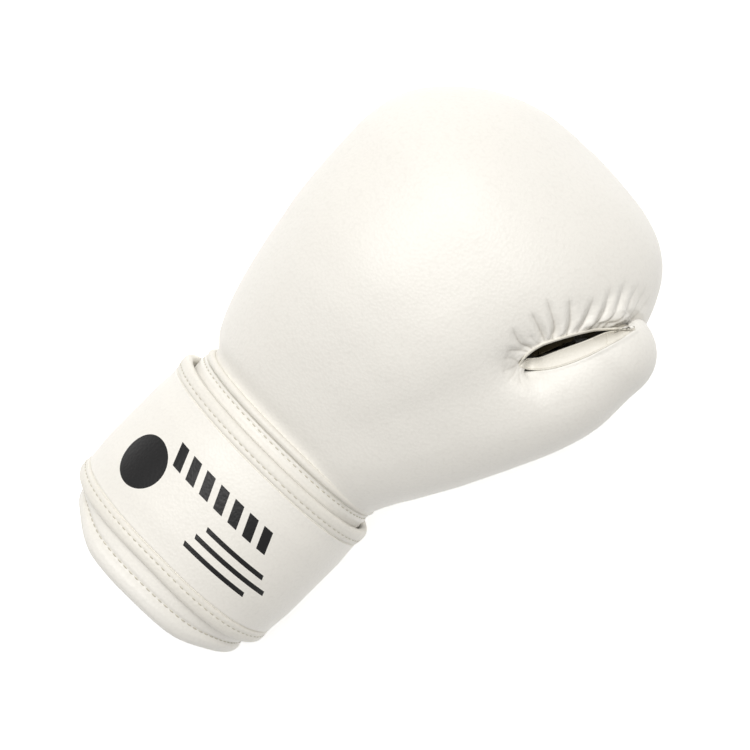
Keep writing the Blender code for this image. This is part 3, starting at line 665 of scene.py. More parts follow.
def subdivide(points, faces, pick, rounds):
    """Splits the chosen faces in four."""
    mesh = bpy.data.meshes.new("work")
    mesh.from_pydata(points.tolist(), [], [list(map(int, f)) for f in faces])
    bm = bmesh.new()
    bm.from_mesh(mesh)
    bm.faces.ensure_lookup_table()
    chosen = [bm.faces[int(i)] for i in np.where(pick)[0] if len(bm.faces[int(i)].verts) == 4]
    edges = list({e for f in chosen for e in f.edges})
    bmesh.ops.subdivide_edges(bm, edges=edges, cuts=1, use_grid_fill=True)
    bmesh.ops.triangulate(bm, faces=[f for f in bm.faces if len(f.verts) > 4])
    bm.verts.index_update()
    new = np.array([v.co for v in bm.verts])
    out = [[v.index for v in f.verts] for f in bm.faces]
    bm.free()
    bpy.data.meshes.remove(mesh)
    quad = np.array([f for f in out if len(f) == 4])
    three = np.array([f for f in out if len(f) == 3]).reshape(-1, 3)
    weight = np.zeros(len(new))
    return new, out, quad, three


def middle(points, faces):
    return np.array([points[f].mean(0) for f in faces])


mid = points[quads].mean(1)
gap_here = np.abs(trilinear(between, LOW, VOXEL, mid))
pick = (mid[:, 0] > 40) & (mid[:, 0] < 118) & (mid[:, 2] > 84) & (mid[:, 1] < -20) & (mid[:, 1] > -76) & (gap_here < 24)
points, faces, quad, three = subdivide(points, quads, pick, 2)
fine = np.zeros(len(points))
a, b = neighbours(quad, len(points))
for _ in range(3):
    mean = np.stack([np.bincount(a, weights=points[b, c], minlength=len(points)) for c in range(3)], 1)
    degree = np.bincount(a, minlength=len(points))
    zone = (points[:, 0] > 41) & (points[:, 0] < 117) & (points[:, 2] > 85) & (points[:, 1] < -21) & (points[:, 1] > -75) & (degree > 3)
    points[zone] += 0.35 * (mean[zone] / degree[zone][:, None] - points[zone])
mid = middle(points, faces)
gap_here = np.abs(trilinear(between, LOW, VOXEL, mid))
pick = (mid[:, 0] > 44) & (mid[:, 0] < 114) & (mid[:, 2] > 92) & (mid[:, 1] < -26) & (mid[:, 1] > -72) & (gap_here < 13)
points, faces, quad, three = subdivide(points, faces, pick, 2)
a, b = neighbours(quad, len(points))
degree = np.maximum(np.bincount(a, minlength=len(points)), 1)
for _ in range(3):
    mean = np.stack([np.bincount(a, weights=points[b, c], minlength=len(points)) for c in range(3)], 1) / degree[:, None]
    zone = (points[:, 0] > 45) & (points[:, 0] < 113) & (points[:, 2] > 93) & (points[:, 1] < -27) & (points[:, 1] > -71) & (degree > 3)
    points[zone] += 0.35 * (mean[zone] - points[zone])

# Close the slit past its mouth, and part it most in the middle
e = trilinear(between, LOW, VOXEL, points)
grad = np.stack([trilinear(between, LOW, VOXEL, points + d) - trilinear(between, LOW, VOXEL, points - d) for d in np.eye(3) * 0.8], 1)
grad /= np.maximum(np.linalg.norm(grad, axis=1), 1e-6)[:, None]
mouth = 0.12 + 1.75 * ramp(points[:, 0], 53, 60) * (1 - ramp(points[:, 0], 74, 90))
made = np.interp(points[:, 0], [50.5, 57], [0.0, 1.4])
live = ramp(points[:, 0], 51, 57) * (1 - ramp(np.maximum(trilinear(hand, LOW, VOXEL, points), trilinear(thumb, LOW, VOXEL, points)), 2.5, 6))
push = (mouth - made) * live * np.exp(-((np.maximum(np.abs(e) - made, 0) / 5.0) ** 2))
points = points + grad * (np.sign(e) * push)[:, None]

# Gathers, pinch and facing
normal = vertex_normals(points, [x for x in (quad, three) if len(x)])
plan = points[:, :2]
upward = ramp(normal[:, 2], 0.0, 0.35) * ramp(points[:, 2], 84, 92)
area = np.where((points[:, 0] > 38) & (points[:, 0] < 122) & (points[:, 1] < -18) & (points[:, 1] > -78) & (points[:, 2] > 80))[0]
p, up = plan[area], upward[area]
move = np.zeros(len(area))
crease_painted_shade = np.zeros(len(area))
lip = smooth_lists(UPPER_LIP, step=0.7)
seam = smooth_lists(LOWER_SEAM, step=0.7)
from_lip, _, lip_side = near(p, lip)
from_seam, _, seam_side = near(p, seam)
on_fist = (e[area] < 0) | (points[area, 0] < 51)
for way, depth in GATHERS:
    way = smooth_lists(way, step=0.8)
    gap, t, _ = near(p, way)
    length = np.linalg.norm(np.diff(way, axis=0), axis=1).sum()
    width = 0.6 + 1.3 * t
    fall = 1.75 * depth * (1 - t) ** 0.6 * ramp(1 - t, 0, 0.3) * (0.25 + 0.75 * ramp(from_lip, 0.2, 2.4))
    move -= fall * (0.62 * np.exp(-gap / width) + 0.38 * np.exp(-((gap / (2.1 * width)) ** 2))) * on_fist * up
    move += 0.26 * fall * np.exp(-(((gap - 2.8) / 1.4) ** 2)) * on_fist * up
    # Painted shade: a thin dark line along the bottom of each gather crease.
    crease_painted_shade = np.maximum(crease_painted_shade, min(depth, 1.0) * 0.42 * (1 - t) ** 0.55 * np.exp(-((gap / 0.4) ** 2)) * on_fist * up * (1 - 0.7 * ramp(p[:, 0], 91, 97)))
# The lobe rolls down to the lip
move -= 0.9 * np.exp(-((from_lip / 8.0) ** 2)) * (lip_side > 0) * ramp(p[:, 0], 50, 62) * (e[area] < 0) * up
move += 3.0 * np.exp(-((np.hypot(p[:, 0] - 95.5, p[:, 1] + 59.0) / 6.0) ** 2)) * (e[area] < 0) * up
corner = np.hypot(p[:, 0] - 51.0, p[:, 1] + 40.3)
move -= 2.2 * np.exp(-((corner / 8.0) ** 2)) * up
inside_lens = (lip_side < 0) & (seam_side > 0) & (p[:, 0] > 51) & (p[:, 0] < 95.8)
edge = np.minimum(from_lip, from_seam)
lens = np.where(inside_lens, edge, -edge)
thumb_face = ramp(e[area], -0.6, 0.4) + (1 - ramp(e[area], -0.6, 0.4)) * (1 - ramp(p[:, 0], 53, 60))
move -= (1.0 * ramp(lens, 0.0, 0.9) + 0.9 * ramp(lens, 0.8, 4.0)) * up * thumb_face
move += 0.5 * np.exp(-(((lens + 0.8) / 0.8) ** 2)) * (p[:, 0] > 51) * (p[:, 0] < 96) * up * (from_seam < 3) * (e[area] > -1)
cross, _, _ = near(p, smooth_lists(CROSS_SEAM, step=0.5))
move -= 0.6 * np.exp(-((cross / 0.45) ** 2)) * inside_lens * up
# Evens the moves out over neighbouring places, so that no move starts as a step
slot_of = np.full(len(points), -1)
slot_of[area] = np.arange(len(area))
a, b = neighbours(quad, len(points))
local = (slot_of[a] >= 0) & (slot_of[b] >= 0)
a, b = slot_of[a[local]], slot_of[b[local]]
degree = np.maximum(np.bincount(a, minlength=len(area)), 1)
for _ in range(2):
    move = 0.45 * move + 0.55 * np.bincount(a, weights=move[b], minlength=len(area)) / degree
points[area] += normal[area] * move[:, None]
rough_corner = np.exp(-((np.hypot(points[:, 0] - 53, points[:, 1] + 40.5) / 7.0) ** 2)) * (points[:, 2] > 90)
a, b = neighbours(quad, len(points))
degree = np.maximum(np.bincount(a, minlength=len(points)), 1)
for _ in range(14):
    mean = np.stack([np.bincount(a, weights=points[b, c], minlength=len(points)) for c in range(3)], 1) / degree[:, None]
    points += (0.5 * rough_corner * (degree > 3))[:, None] * (mean - points)
facing = np.zeros(len(points))
facing[area] = inside_lens * (thumb_face > 0.5) * ramp(lens, 0.1, 0.6) * up
# Painted shade: a dark line in the groove along the lower seam and along the cross seam, joined below by the painted
# crease lines.
dark = np.zeros(len(points))
dark[area] = np.maximum(np.exp(-(((lens - 0.15) / 0.32) ** 2)) * (p[:, 0] > 51) * (p[:, 0] < 95.8) * (from_seam < 1.6), np.exp(-((cross / 0.4) ** 2)) * inside_lens) * up * 0.55
dark[area] = np.maximum(dark[area], crease_painted_shade)

# Small waves in the leather
normal = vertex_normals(points, [x for x in (quad, three) if len(x)])
outer = (trilinear(skin, LOW, VOXEL, points + normal * 3) > 0)


def waves(p, scale, seed):
    rng = np.random.default_rng(seed)
    out = np.zeros(len(p))
    for _ in range(14):
        way = rng.normal(size=3)
        way /= np.linalg.norm(way)
        out += np.sin(p @ way * (2 * math.pi / (scale * rng.uniform(0.7, 1.6))) + rng.uniform(0, 6.28))
    return out / 14


still = ramp(points[:, 0], -46, -34)
points += normal * (0.55 * waves(points, 46, 3) + 0.16 * waves(points, 15, 5))[:, None] * still[:, None]
points[:, 2] = np.maximum(points[:, 2], 0.05)


# Inside the slit the skin stays low, and a facing and a turned-in edge lie over it
def even(line, n):
    line = smooth_lists(line, step=0.25)
    run = np.concatenate([[0], np.cumsum(np.linalg.norm(np.diff(line, axis=0), axis=1))])
    s = np.linspace(0, run[-1], n)
    return np.column_stack([np.interp(s, run, line[:, k]) for k in range(2)])


def left_of(line):
    way = np.column_stack([-np.gradient(line[:, 1]), np.gradient(line[:, 0])])
    return way / np.linalg.norm(way, axis=1)[:, None]


def edge_height(line, away):
    """Height of the skin beside a line, evened out along it."""
    top = points[(points[:, 2] > 88) & (points[:, 0] > 44) & (points[:, 0] < 104) & (points[:, 1] < -30)]
    z = []
    for q in line + away:
        close = np.hypot(top[:, 0] - q[0], top[:, 1] - q[1]) < 0.7
        z.append(top[close, 2].max() if close.any() else z[-1])
    z = np.array(z)
    for _ in range(10):
        z[1:-1] = (z[:-2] + 2 * z[1:-1] + z[2:]) / 4
    return z


LIP = even(UPPER_LIP, 90)
SEAM = even(LOWER_SEAM, 90)
INNER = even(INNER_EDGE, 90)
lip_z = edge_height(LIP, 0.8 * left_of(LIP))
seam_z = edge_height(SEAM, -0.8 * left_of(SEAM))
share = np.linspace(0, 1, 90)
for where in (ramp(share, 0.86, 1.0), 1 - ramp(share, 0, 0.06)):
    level = (lip_z * where + seam_z * where).sum() / (2 * where.sum())
    lip_z, seam_z = lip_z + (level - lip_z) * where, seam_z + (level - seam_z) * where
p = points[area, :2]
from_lip, lip_t, lip_side = near(p, LIP)
from_seam, seam_t, seam_side = near(p, SEAM)
from_inner, _, inner_side = near(p, INNER)
inside = (lip_side < 0) & (seam_side > 0) & (p[:, 0] > 51.0) & (p[:, 0] < 95.8)
rim = (from_lip * np.interp(seam_t, share, seam_z) + from_seam * np.interp(lip_t, share, lip_z)) / (from_lip + from_seam + 1e-6)
opening = from_inner * inner_side
drop = 0.2 + 6.0 * ramp(np.minimum(from_lip, from_seam), 0.0, 1.0) + 12 * ramp(opening, -0.6, 1.0)
drop *= ramp(p[:, 0], 50.8, 55) * (1 - ramp(p[:, 0], 94.4, 96.0))
sink = area[inside]
points[sink, 2] = np.minimum(points[sink, 2], (rim - drop)[inside])


def thick(sheet, depth):
    """A grid of points made into a closed thin solid, its second side below the first."""
    n_rows, n_columns = sheet.shape[:2]
    flat = sheet.reshape(-1, 3)
    f = grid_faces(n_rows, n_columns)
    n = vertex_normals(flat, [f])
    if n[:, 2].sum() < 0:
        f, n = f[:, ::-1], -n
    c = len(flat)
    loop = list(range(n_columns)) + [i * n_columns + n_columns - 1 for i in range(1, n_rows)] + [(n_rows - 1) * n_columns + j for j in range(n_columns - 2, -1, -1)] + [i * n_columns for i in range(n_rows - 2, 0, -1)]
    sides = [[loop[i], loop[(i + 1) % len(loop)], loop[(i + 1) % len(loop)] + c, loop[i] + c] for i in range(len(loop))]
    first = {(q[k], q[(k + 1) % 4]) for q in f.tolist() for k in range(4)}
    if (loop[0], loop[1]) in first:
        sides = [q[::-1] for q in sides]
    return np.vstack([flat, flat - depth * n]), f.tolist() + [[v + c for v in q[::-1]] for q in f.tolist()] + sides


# Facing: from the seam up to its inner edge, then down into the slit
u = np.linspace(0, 1, 90)[:, None]
tip = (ramp(share, 0, 0.14) * (1 - ramp(share, 0.84, 1.0)))[:, None]
tuck = 1.3 * ramp(share, 0.93, 1.0)
start = SEAM - 0.3 * left_of(SEAM)
in_z = np.minimum(seam_z - 2.4 * tip[:, 0] - 0.2, lip_z - 0.55 - 0.5 * tip[:, 0])
strips, marks = [], []
for v in np.concatenate([[0, 0.03, 0.07], np.linspace(0.12, 1, 14)]):
    xy = start + v * (INNER - start)
    z = seam_z - 0.12 - 0.28 * ramp(np.full(90, v), 0, 0.1) - (seam_z - 0.4 - in_z) * v**1.8
    strips.append(np.column_stack([xy, z - tuck]))
    # Painted shade on the facing: a dark line in the groove by the seam, and darker toward its inner edge where it
    # turns into the slit.
    marks.append(0.5 * ramp(share, 0.02, 0.14) * math.exp(-(((v - 0.055) / 0.05) ** 2)) + 0.12 * v + 0.3 * v**2 * ramp(share, 0.15, 0.7))
for side, down in ((0.22, 0.12), (0.34, 0.5), (0.3, 1.2), (0.1, 2.6), (-0.5, 5.5), (-1.4, 9.5), (-2.2, 13.0)):
    xy = INNER + side * tip * left_of(INNER)
    strips.append(np.column_stack([xy, in_z - tuck - down * (0.15 + 0.85 * tip[:, 0])]))
    # Painted shade: the strips running down into the slit are darker the deeper they go.
    marks.append(0.12 + 0.05 * down + 0.3 * ramp(share, 0.15, 0.7))
facing_points, facing_faces = thick(np.array(strips), 0.7)
facing_painted_shade = np.tile(np.concatenate(marks), 2)

# Turned-in edge of the fist's lip
strips, lip_edge_painted_shade_rows = [], []
for side, down in ((-0.55, 0.12), (-0.15, 0.15), (0.15, 0.38), (0.32, 0.8), (0.36, 1.5), (0.28, 2.6), (0.0, 4.5), (-0.7, 7.5), (-1.7, 11.0), (-2.6, 14.0)):
    xy = LIP - (side * (0.35 + 0.65 * tip)) * left_of(LIP)
    strips.append(np.column_stack([xy, lip_z - tuck - down * (0.15 + 0.85 * tip[:, 0])]))
    # Painted shade: the turned-in edge is darker the deeper it goes into the slit.
    lip_edge_painted_shade_rows.append(np.full(90, 0.05 + 0.05 * down))
edge_points, edge_faces = thick(np.array(strips), 0.6)
lip_edge_painted_shade = np.tile(np.concatenate(lip_edge_painted_shade_rows), 2)
# Painted shade: how far a place lies down inside the slot, which sets its near-black colour.
slot_painted_shade_amount = (1 - ramp(np.abs(e), 5, 8)) * ramp(-trilinear(np.minimum(hand, thumb), LOW, VOXEL, points), 2.2, 6.5) * (points[:, 0] > 49)
normal = vertex_normals(points, [x for x in (quad, three) if len(x)])

mid = middle(points, faces)
mid_e = np.array([e[f].mean() for f in faces])
is_thumb = (mid[:, 0] - 13 * ramp(-mid[:, 2], -108, -88) > CUT_X) & (mid_e > 0) & ((mid[:, 2] > 67) | (mid[:, 0] > 84))


def part_of(name, pick, material, cap_to):
    chosen = [faces[i] for i in np.where(pick)[0]]
    used = np.unique(np.concatenate([np.asarray(f) for f in chosen]))
    index = np.full(len(points), -1)
    index[used] = np.arange(len(used))
    chosen = [[int(index[v]) for v in f] for f in chosen]
    once = {}
    for f in chosen:
        for a, b in zip(f, f[1:] + f[:1]):
            once[(a, b)] = True
    border = [(a, b) for a, b in once if (b, a) not in once]
    new = np.vstack([points[used], [cap_to]])
    nor = np.vstack([normal[used], [(1, 0, 0)]])
    chosen += [[b, a, len(new) - 1] for a, b in border]
    # Carries the painted shade onto the piece: the darkened grooves and creases, and the near-black inside the slot,
    # which is full at the cap's centre.
    extra = {"slot_painted_shade": np.append(slot_painted_shade_amount[used], 1.0), "facing": np.append(facing[used], 0), "dark": np.append(dark[used], 0)}
    return piece(name, new, chosen, material, attributes=extra, normals=nor)


hand_skin = part_of("hand_leather", ~is_thumb, LEATHER, (48.5, -52.0, 88.0))
thumb_skin = part_of("thumb_leather", is_thumb, LEATHER, (47.5, -52.0, 88.0))
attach(hand_skin, "glove")
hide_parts("back_and_knuckle_shell", "palm_panel", "finger_panel", "side_panel", "back_foam", "thumb_side_foam", "palm_foam", "little_finger_side_foam", "knuckle_foam")
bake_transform(thumb_skin)
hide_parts("thumb_outer_panel", "thumb_inner_panel", "thumb_foam", "thumb_lining")


# Thin welt sewn round the slit
def on_surface(item, plan, lift):
    """Points lying on an object's upper side above places in plan."""
    tree = BVHTree.FromPolygons([v.co[:] for v in item.data.vertices], [f.vertices[:] for f in item.data.polygons])
    out = []
    for px, py in plan:
        hits = []
        for ox, oy in ((0, 0), (0.5, 0), (-0.5, 0), (0, 0.5), (0, -0.5)):
            hit = tree.ray_cast(Vector(((px + ox + DX) * MM, (py + oy) * MM, 0.2)), Vector((0, 0, -1)))[0]
            if hit is not None:
                hits.append(hit.z / MM)
        out.append(max(hits) if hits else out[-1])
    z = np.array(out)
    for _ in range(6):
        z[1:-1] = (z[:-2] + 2 * z[1:-1] + z[2:]) / 4
    return np.column_stack([np.asarray(plan), z + lift])


def welt(name, parts, body):
    pts, fcs = join([sweep_tube(line3, np.interp(np.linspace(0, 1, len(line3)), [0, 0.06, 0.94, 1], [0.2, r, r, 0.2]), sides=8) for line3, r in parts])
    item = piece(name, pts, outward(pts, fcs), FACING)
    if body:
        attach(item, body)
    return item


def signed_volume(points, faces):
    total = 0.0
    for f in faces:
        for i in range(1, len(f) - 1):
            total += np.dot(points[f[0]], np.cross(points[f[i]], points[f[i + 1]]))
    return total / 6


def outward(points, faces):
    return [f[::-1] for f in faces] if signed_volume(points, faces) < 0 else faces


upper_welt = np.column_stack([LIP + 0.45 * left_of(LIP), lip_z - 0.1 - tuck])[:86]
lower_welt = np.column_stack([SEAM - 0.1 * left_of(SEAM), seam_z - 0.15 - tuck])[:86]
cross_line = smooth_lists(CROSS_SEAM, step=0.5)
n = len(facing_points)
# Painted shade on the facing and the turned-in edge: darker deeper into the slit.
slit_facing = piece("slit_facing", facing_points, facing_faces, LEATHER, attributes={"facing": np.full(n, 0.45), "dark": np.clip(facing_painted_shade, 0, 0.6)})
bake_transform(slit_facing)
slit_edge = piece("slit_turned_edge", edge_points, edge_faces, LEATHER, attributes={"facing": np.full(len(edge_points), 0.6), "dark": np.clip(lip_edge_painted_shade, 0, 0.6)})
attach(slit_edge, "glove")
cross_welt = on_surface(slit_facing, cross_line, -0.02)
inner_welt = np.column_stack([INNER, in_z - 0.02])[3:76]
welt("slit_welt_fist", [(upper_welt, 0.42)], "glove")
thumb_welt = welt("slit_welt_thumb", [(lower_welt, 0.36), (cross_welt, 0.26), (inner_welt, 0.24)], None)
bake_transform(thumb_welt)


# ------------------------------------------------------------------ the cuff
def oval(deg, grow=0.0, half=CUFF_HALF, mid=CUFF_MID, power=CUFF_POWER):
    a = np.radians(deg)
    c, s = np.cos(a), np.sin(a)
    r = (np.abs(c / half[0]) ** power + np.abs(s / half[1]) ** power) ** (-1 / power)
    y, z = r * c, r * s
    ny = np.sign(y) * np.abs(y / half[0]) ** (power - 1) / half[0]
    nz = np.sign(z) * np.abs(z / half[1]) ** (power - 1) / half[1]
    n = np.hypot(ny, nz)
    return np.stack([mid[0] + y + grow * ny / n, mid[1] + z + grow * nz / n], -1), np.stack([ny / n, nz / n], -1)


SLIT_DEG = (175.0, 185.0)
around = np.linspace(SLIT_DEG[1] + 0.6, 360 + SLIT_DEG[0] - 0.6, 300)
outer_yz, outer_n = oval(around)
inner_yz, inner_n = oval(around, 0.4, (38.0, 36.5), (7.5, 49.0))


def cuff_profile():
    """(x, share of the way in, offset) along the cuff's closed section, with the part it belongs to."""
    rows = []
    for x in np.concatenate([np.arange(-46.4, -53.0, -0.4), np.arange(-53.0, -126.0, -3.0), np.arange(-126.0, -136.2, -0.45)]):
        n = -1.6 * ramp(x, -47.6, -46.4) - 0.42 * np.exp(-(((x + 48.9) / 0.55) ** 2)) + 0.25 * np.exp(-(((x + 50.6) / 1.1) ** 2))
        n += 0.9 * ramp(-x, 132.8, 135.5) - 0.7 * np.exp(-(((x + 132.4) / 0.8) ** 2))
        rows.append((x, 0.0, n, 0))
    for a in np.linspace(0, 180, 25)[1:-1]:
        c, s = math.cos(math.radians(a)), math.sin(math.radians(a))
        share = 0.5 - 0.5 * np.sign(c) * abs(c) ** 0.8
        rows.append((-136.2 - 5.0 * s**0.8, share, 0.9 * (1 - share), 0))
    for x in np.concatenate([np.arange(-136.2, -128, 0.8), np.arange(-128, -48.0, 4.0)]):
        n = 0.5 * np.exp(-(((x + 132.5) / 0.9) ** 2))
        rows.append((x, 1.0, n, 1 if x > -132.5 else 0))
    for share in (0.85, 0.6, 0.35, 0.15):
        rows.append((-47.0, share, 0, 1))
    return rows


def rim_shape(p, deg, n):
    """Sets the rim back at the palm and at the back of the hand, and lets it reach furthest at the thumb side."""
    c, s = np.cos(np.radians(deg)), np.sin(np.radians(deg))
    out = p.copy()
    near_rim = ramp(-p[..., 0], 126, 138)
    out[..., 0] += near_rim * (5.2 * ramp(c, 0.45, 1.0) + 2.6 * ramp(-c, 0.5, 1.0) - 1.6 * ramp(s, 0.55, 1.0))
    inward = ramp(-p[..., 0], 127, 134) * (3.6 * ramp(c, 0.45, 1.0) + 0.6 * ramp(-c, 0.4, 0.95))
    out[..., 1:] -= inward[..., None] * n
    return out


rows = cuff_profile()
prof = np.array([r[:3] for r in rows])
ring = []
for x, share, n in prof:
    yz = outer_yz + share * (inner_yz - outer_yz) + n * outer_n * (1 if share < 0.99 else -1)
    ring.append(np.column_stack([np.full(len(around), x), yz]))
ring = np.array(ring)
wobble = waves(ring.reshape(-1, 3), 40, 8).reshape(ring.shape[:2])
edge_wave = ramp(-ring[:, :, 0], 127, 141)
ring[:, :, 0] += 1.1 * wobble * edge_wave
ring[:, :, 1:] += (0.5 * wobble * edge_wave)[..., None] * outer_n[None]
ring = rim_shape(ring, around, outer_n)
ring[:, :, 2] = np.maximum(ring[:, :, 2], 0.05)
m, k = ring.shape[:2]
cuff_faces = grid_faces(m, k, False, True).tolist()
cuff_kinds = [rows[i % m][3] for i in range(m) for _ in range(k - 1)]
cuff_kinds = [rows[f[0] // k][3] for f in cuff_faces]
first, last = [i * k for i in range(m)], [i * k + k - 1 for i in range(m)]
cuff_faces += [first, last[::-1]]
cuff_kinds += [0, 0]
cuff_points = ring.reshape(-1, 3)


def around_line(x, offset, low=None, high=None, step=0.8):
    low = SLIT_DEG[1] + 2.0 if low is None else low
    high = 358 + SLIT_DEG[0] if high is None else high
    deg = np.linspace(low, high, int(abs(high - low) / step) + 2)
    yz, n = oval(deg, offset)
    path = np.column_stack([np.full(len(deg), x), yz])
    path[:, 2] = np.maximum(path[:, 2], 0.3)
    return path, np.column_stack([np.zeros(len(deg)), n])


cuff = piece("cuff_leather", cuff_points, outward(cuff_points, cuff_faces), [LEATHER, LINING], kinds=cuff_kinds, attributes={})
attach(cuff, "glove")
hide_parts("cuff_shell", "cuff_foam", "cuff_rim_binding", "cuff_lining")
collar = dashes(*around_line(-48.9, -0.30))
rim_path, rim_n = around_line(-132.4, 0.0)
rim_wave = waves(rim_path, 40, 8)
rim_path[:, 0] += 1.1 * rim_wave * ramp(-rim_path[:, 0], 127, 141)
rim_path[:, 1:] += (0.5 * rim_wave * ramp(132.4, 127, 141) - 0.45)[:, None] * rim_n[:, 1:]
rim_deg = np.linspace(SLIT_DEG[1] + 2.0, 358 + SLIT_DEG[0], len(rim_path))
rim_path = rim_shape(rim_path, rim_deg, rim_n[:, 1:])
rim = dashes(rim_path, rim_n)
stitch_points, stitch_faces = join([collar, rim])
cuff_stitches = piece("cuff_stitches", stitch_points, stitch_faces, THREAD)
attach(cuff_stitches, "glove")

turn = np.radians(np.linspace(0, 360, 220, endpoint=False))
hx = -44.8
row = [np.interp(hx, HAND[:, 0], curve(HAND[:, 0], HAND[:, c], HAND[:, 0])) for c in (1, 2, 3, 4)]
half_y, mid_y = (row[0] - row[1]) / 2, (row[0] + row[1]) / 2
c, s = np.cos(turn), np.sin(turn)
reach_out = (np.abs(c / half_y) ** ROUND + np.abs(s / row[2]) ** ROUND) ** (-1 / ROUND) + 0.9
pipe = np.column_stack([np.full(len(turn), hx), mid_y + reach_out * c, np.maximum(row[3] + reach_out * s, 2.1)])
pipe_points, pipe_faces = sweep_tube(pipe, 1.9, sides=12, closed=True)
piping = piece("cuff_piping_roll", pipe_points, outward(pipe_points, pipe_faces.tolist()), BINDING)
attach(piping, "glove")
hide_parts("cuff_piping")

# Lining of the hand space
stations = np.concatenate([np.linspace(-48.5, 96, 60), np.linspace(97, 104.6, 12)])
turn = np.radians(np.linspace(0, 360, 96, endpoint=False))
sock = []
for x in stations:
    back, palm, half, mid_z = (float(curve(SPACE[:, 0], SPACE[:, q], x)) for q in (1, 2, 3, 4))
    c, s = np.cos(turn), np.sin(turn)
    r = (np.abs(c / ((back - palm) / 2)) ** 2.4 + np.abs(s / half) ** 2.4) ** (-1 / 2.4)
    sock.append(np.column_stack([np.full(len(turn), x), (back + palm) / 2 + r * c, mid_z + r * s]))
sock = np.array(sock)
flat = sock.reshape(-1, 3)
inward = sock.mean(1, keepdims=True) - sock
inward /= np.maximum(np.linalg.norm(inward, axis=2, keepdims=True), 1e-6)
flat = (sock + inward * (0.6 + 0.7 * waves(flat, 22, 9).reshape(sock.shape[:2]) + 0.5)[..., None]).reshape(-1, 3)
sock_faces = grid_faces(len(stations), 96, True).tolist()
tip = [(len(stations) - 1) * 96 + j for j in range(96)]
sock_faces.append(tip)
inner_skin = (sock + inward * 1.9 + inward * (0.7 * waves(sock.reshape(-1, 3), 22, 9).reshape(sock.shape[:2]))[..., None]).reshape(-1, 3)
count = len(flat)
shell_points = np.vstack([flat, inner_skin])
shell_faces = sock_faces + [[v + count for v in f[::-1]] for f in sock_faces]
shell_faces += [[j, count + j, count + (j + 1) % 96, (j + 1) % 96] for j in range(96)]
lining = piece("hand_lining_cloth", shell_points, outward(shell_points, shell_faces), LINING)
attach(lining, "glove")
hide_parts("hand_lining")

bar = np.column_stack([np.full(9, 55.5), np.full(9, -1.5), np.linspace(46, 84, 9)])
bar_points, bar_faces = sweep_tube(bar, 7.3, sides=28)
grip = piece("grip_bar_cloth", bar_points, outward(bar_points, bar_faces), BAR)
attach(grip, "glove")
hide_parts("grip_bar")


def slab(deg0, deg1, x0, x1, n0, n1, rows=24, columns=12, thumb_mode=False):
    """Thin pad lying along the cuff between two angles."""
    deg = np.linspace(deg0, deg1, rows)
    xs = np.linspace(x0, x1, columns)
    sheets = []
    for n in (n0, n1):
        yz, _ = oval(deg, n)
        sheets.append(np.stack([np.broadcast_to(xs, (rows, columns)), np.repeat(yz[:, :1], columns, 1), np.repeat(yz[:, 1:], columns, 1)], 2).reshape(-1, 3))
    pts = np.vstack(sheets)
    f = grid_faces(rows, columns).tolist()
    c = rows * columns
    out = f + [[v + c for v in q[::-1]] for q in f]
    loop = list(range(columns)) + [i * columns + columns - 1 for i in range(1, rows)] + [(rows - 1) * columns + j for j in range(columns - 2, -1, -1)] + [i * columns for i in range(rows - 2, 0, -1)]
    out += [[loop[i], loop[(i + 1) % len(loop)], loop[(i + 1) % len(loop)] + c, loop[i] + c] for i in range(len(loop))]
    return pts, out


loop_points, loop_faces = slab(-35, 17, -116, -63, -0.9, 0.35, 60, 40)
loop_points += 0.0
loop_points[:, 2] = np.maximum(loop_points[:, 2], 0.05)
loop_pad = piece("loop_tape", loop_points, outward(loop_points, loop_faces), HOOK)
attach(loop_pad, "glove")
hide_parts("loop_pad")

# Tether between the thumb and the fist
tx = np.linspace(74.5, 85.5, 8)
ta = np.radians(np.linspace(-46, -18, 10))
sheets = []
for lift in (0.75, 1.45):
    r = np.interp(tx, THUMB[:, 0], THUMB[:, 3]) + lift
    cy = np.interp(tx, THUMB[:, 0], THUMB[:, 1])
    cz = np.interp(tx, THUMB[:, 0], THUMB[:, 2])
    sheets.append(np.stack([np.broadcast_to(tx[:, None], (8, 10)), cy[:, None] + r[:, None] * np.cos(ta), cz[:, None] + r[:, None] * np.sin(ta)], 2).reshape(-1, 3))
f = grid_faces(8, 10).tolist()
loop = list(range(10)) + [i * 10 + 9 for i in range(1, 8)] + [70 + j for j in range(8, -1, -1)] + [i * 10 for i in range(6, 0, -1)]
f2 = f + [[v + 80 for v in q[::-1]] for q in f] + [[loop[i], loop[(i + 1) % len(loop)], loop[(i + 1) % len(loop)] + 80, loop[i] + 80] for i in range(len(loop))]
tether_points = np.vstack(sheets)
tether = piece("tether_tape", tether_points, outward(tether_points, f2), FACING)
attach(tether, "glove")
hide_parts("thumb_tether")


# ------------------------------------------------------------------ the strap
HOOK_FROM = 15.0


def strap_top(x, deg):
    """Height of the strap's outer face above the cuff."""
    s = np.minimum(x - STRAP_X[0], STRAP_X[1] - x)
    rolled = 2.3
    n = 2.75 + 2.0 * np.sqrt(np.clip(1 - ((rolled - np.minimum(s, rolled)) / rolled) ** 2, 0, 1))
    n = n + 0.35 * np.sin(np.pi * np.clip((s - 1) / 6.4, 0, 1))
    n = n - 0.34 * np.exp(-(((s - 5.0) / 0.5) ** 2)) - 0.95 * np.exp(-(((s - 7.8) / 0.34) ** 2))
    n = n + 0.95 * ramp(s, 8.0, 22.0)
    return n


def strap_bottom(x, deg):
    s = np.minimum(x - STRAP_X[0], STRAP_X[1] - x)
    rolled = 2.3
    base = 0.5 + 1.15 * (deg < HOOK_FROM) * ramp(s, 7.5, 9.0)
    return np.maximum(base, 2.75 - 2.25 * np.sqrt(np.clip(1 - ((rolled - np.minimum(s, rolled)) / rolled) ** 2, 0, 1)))


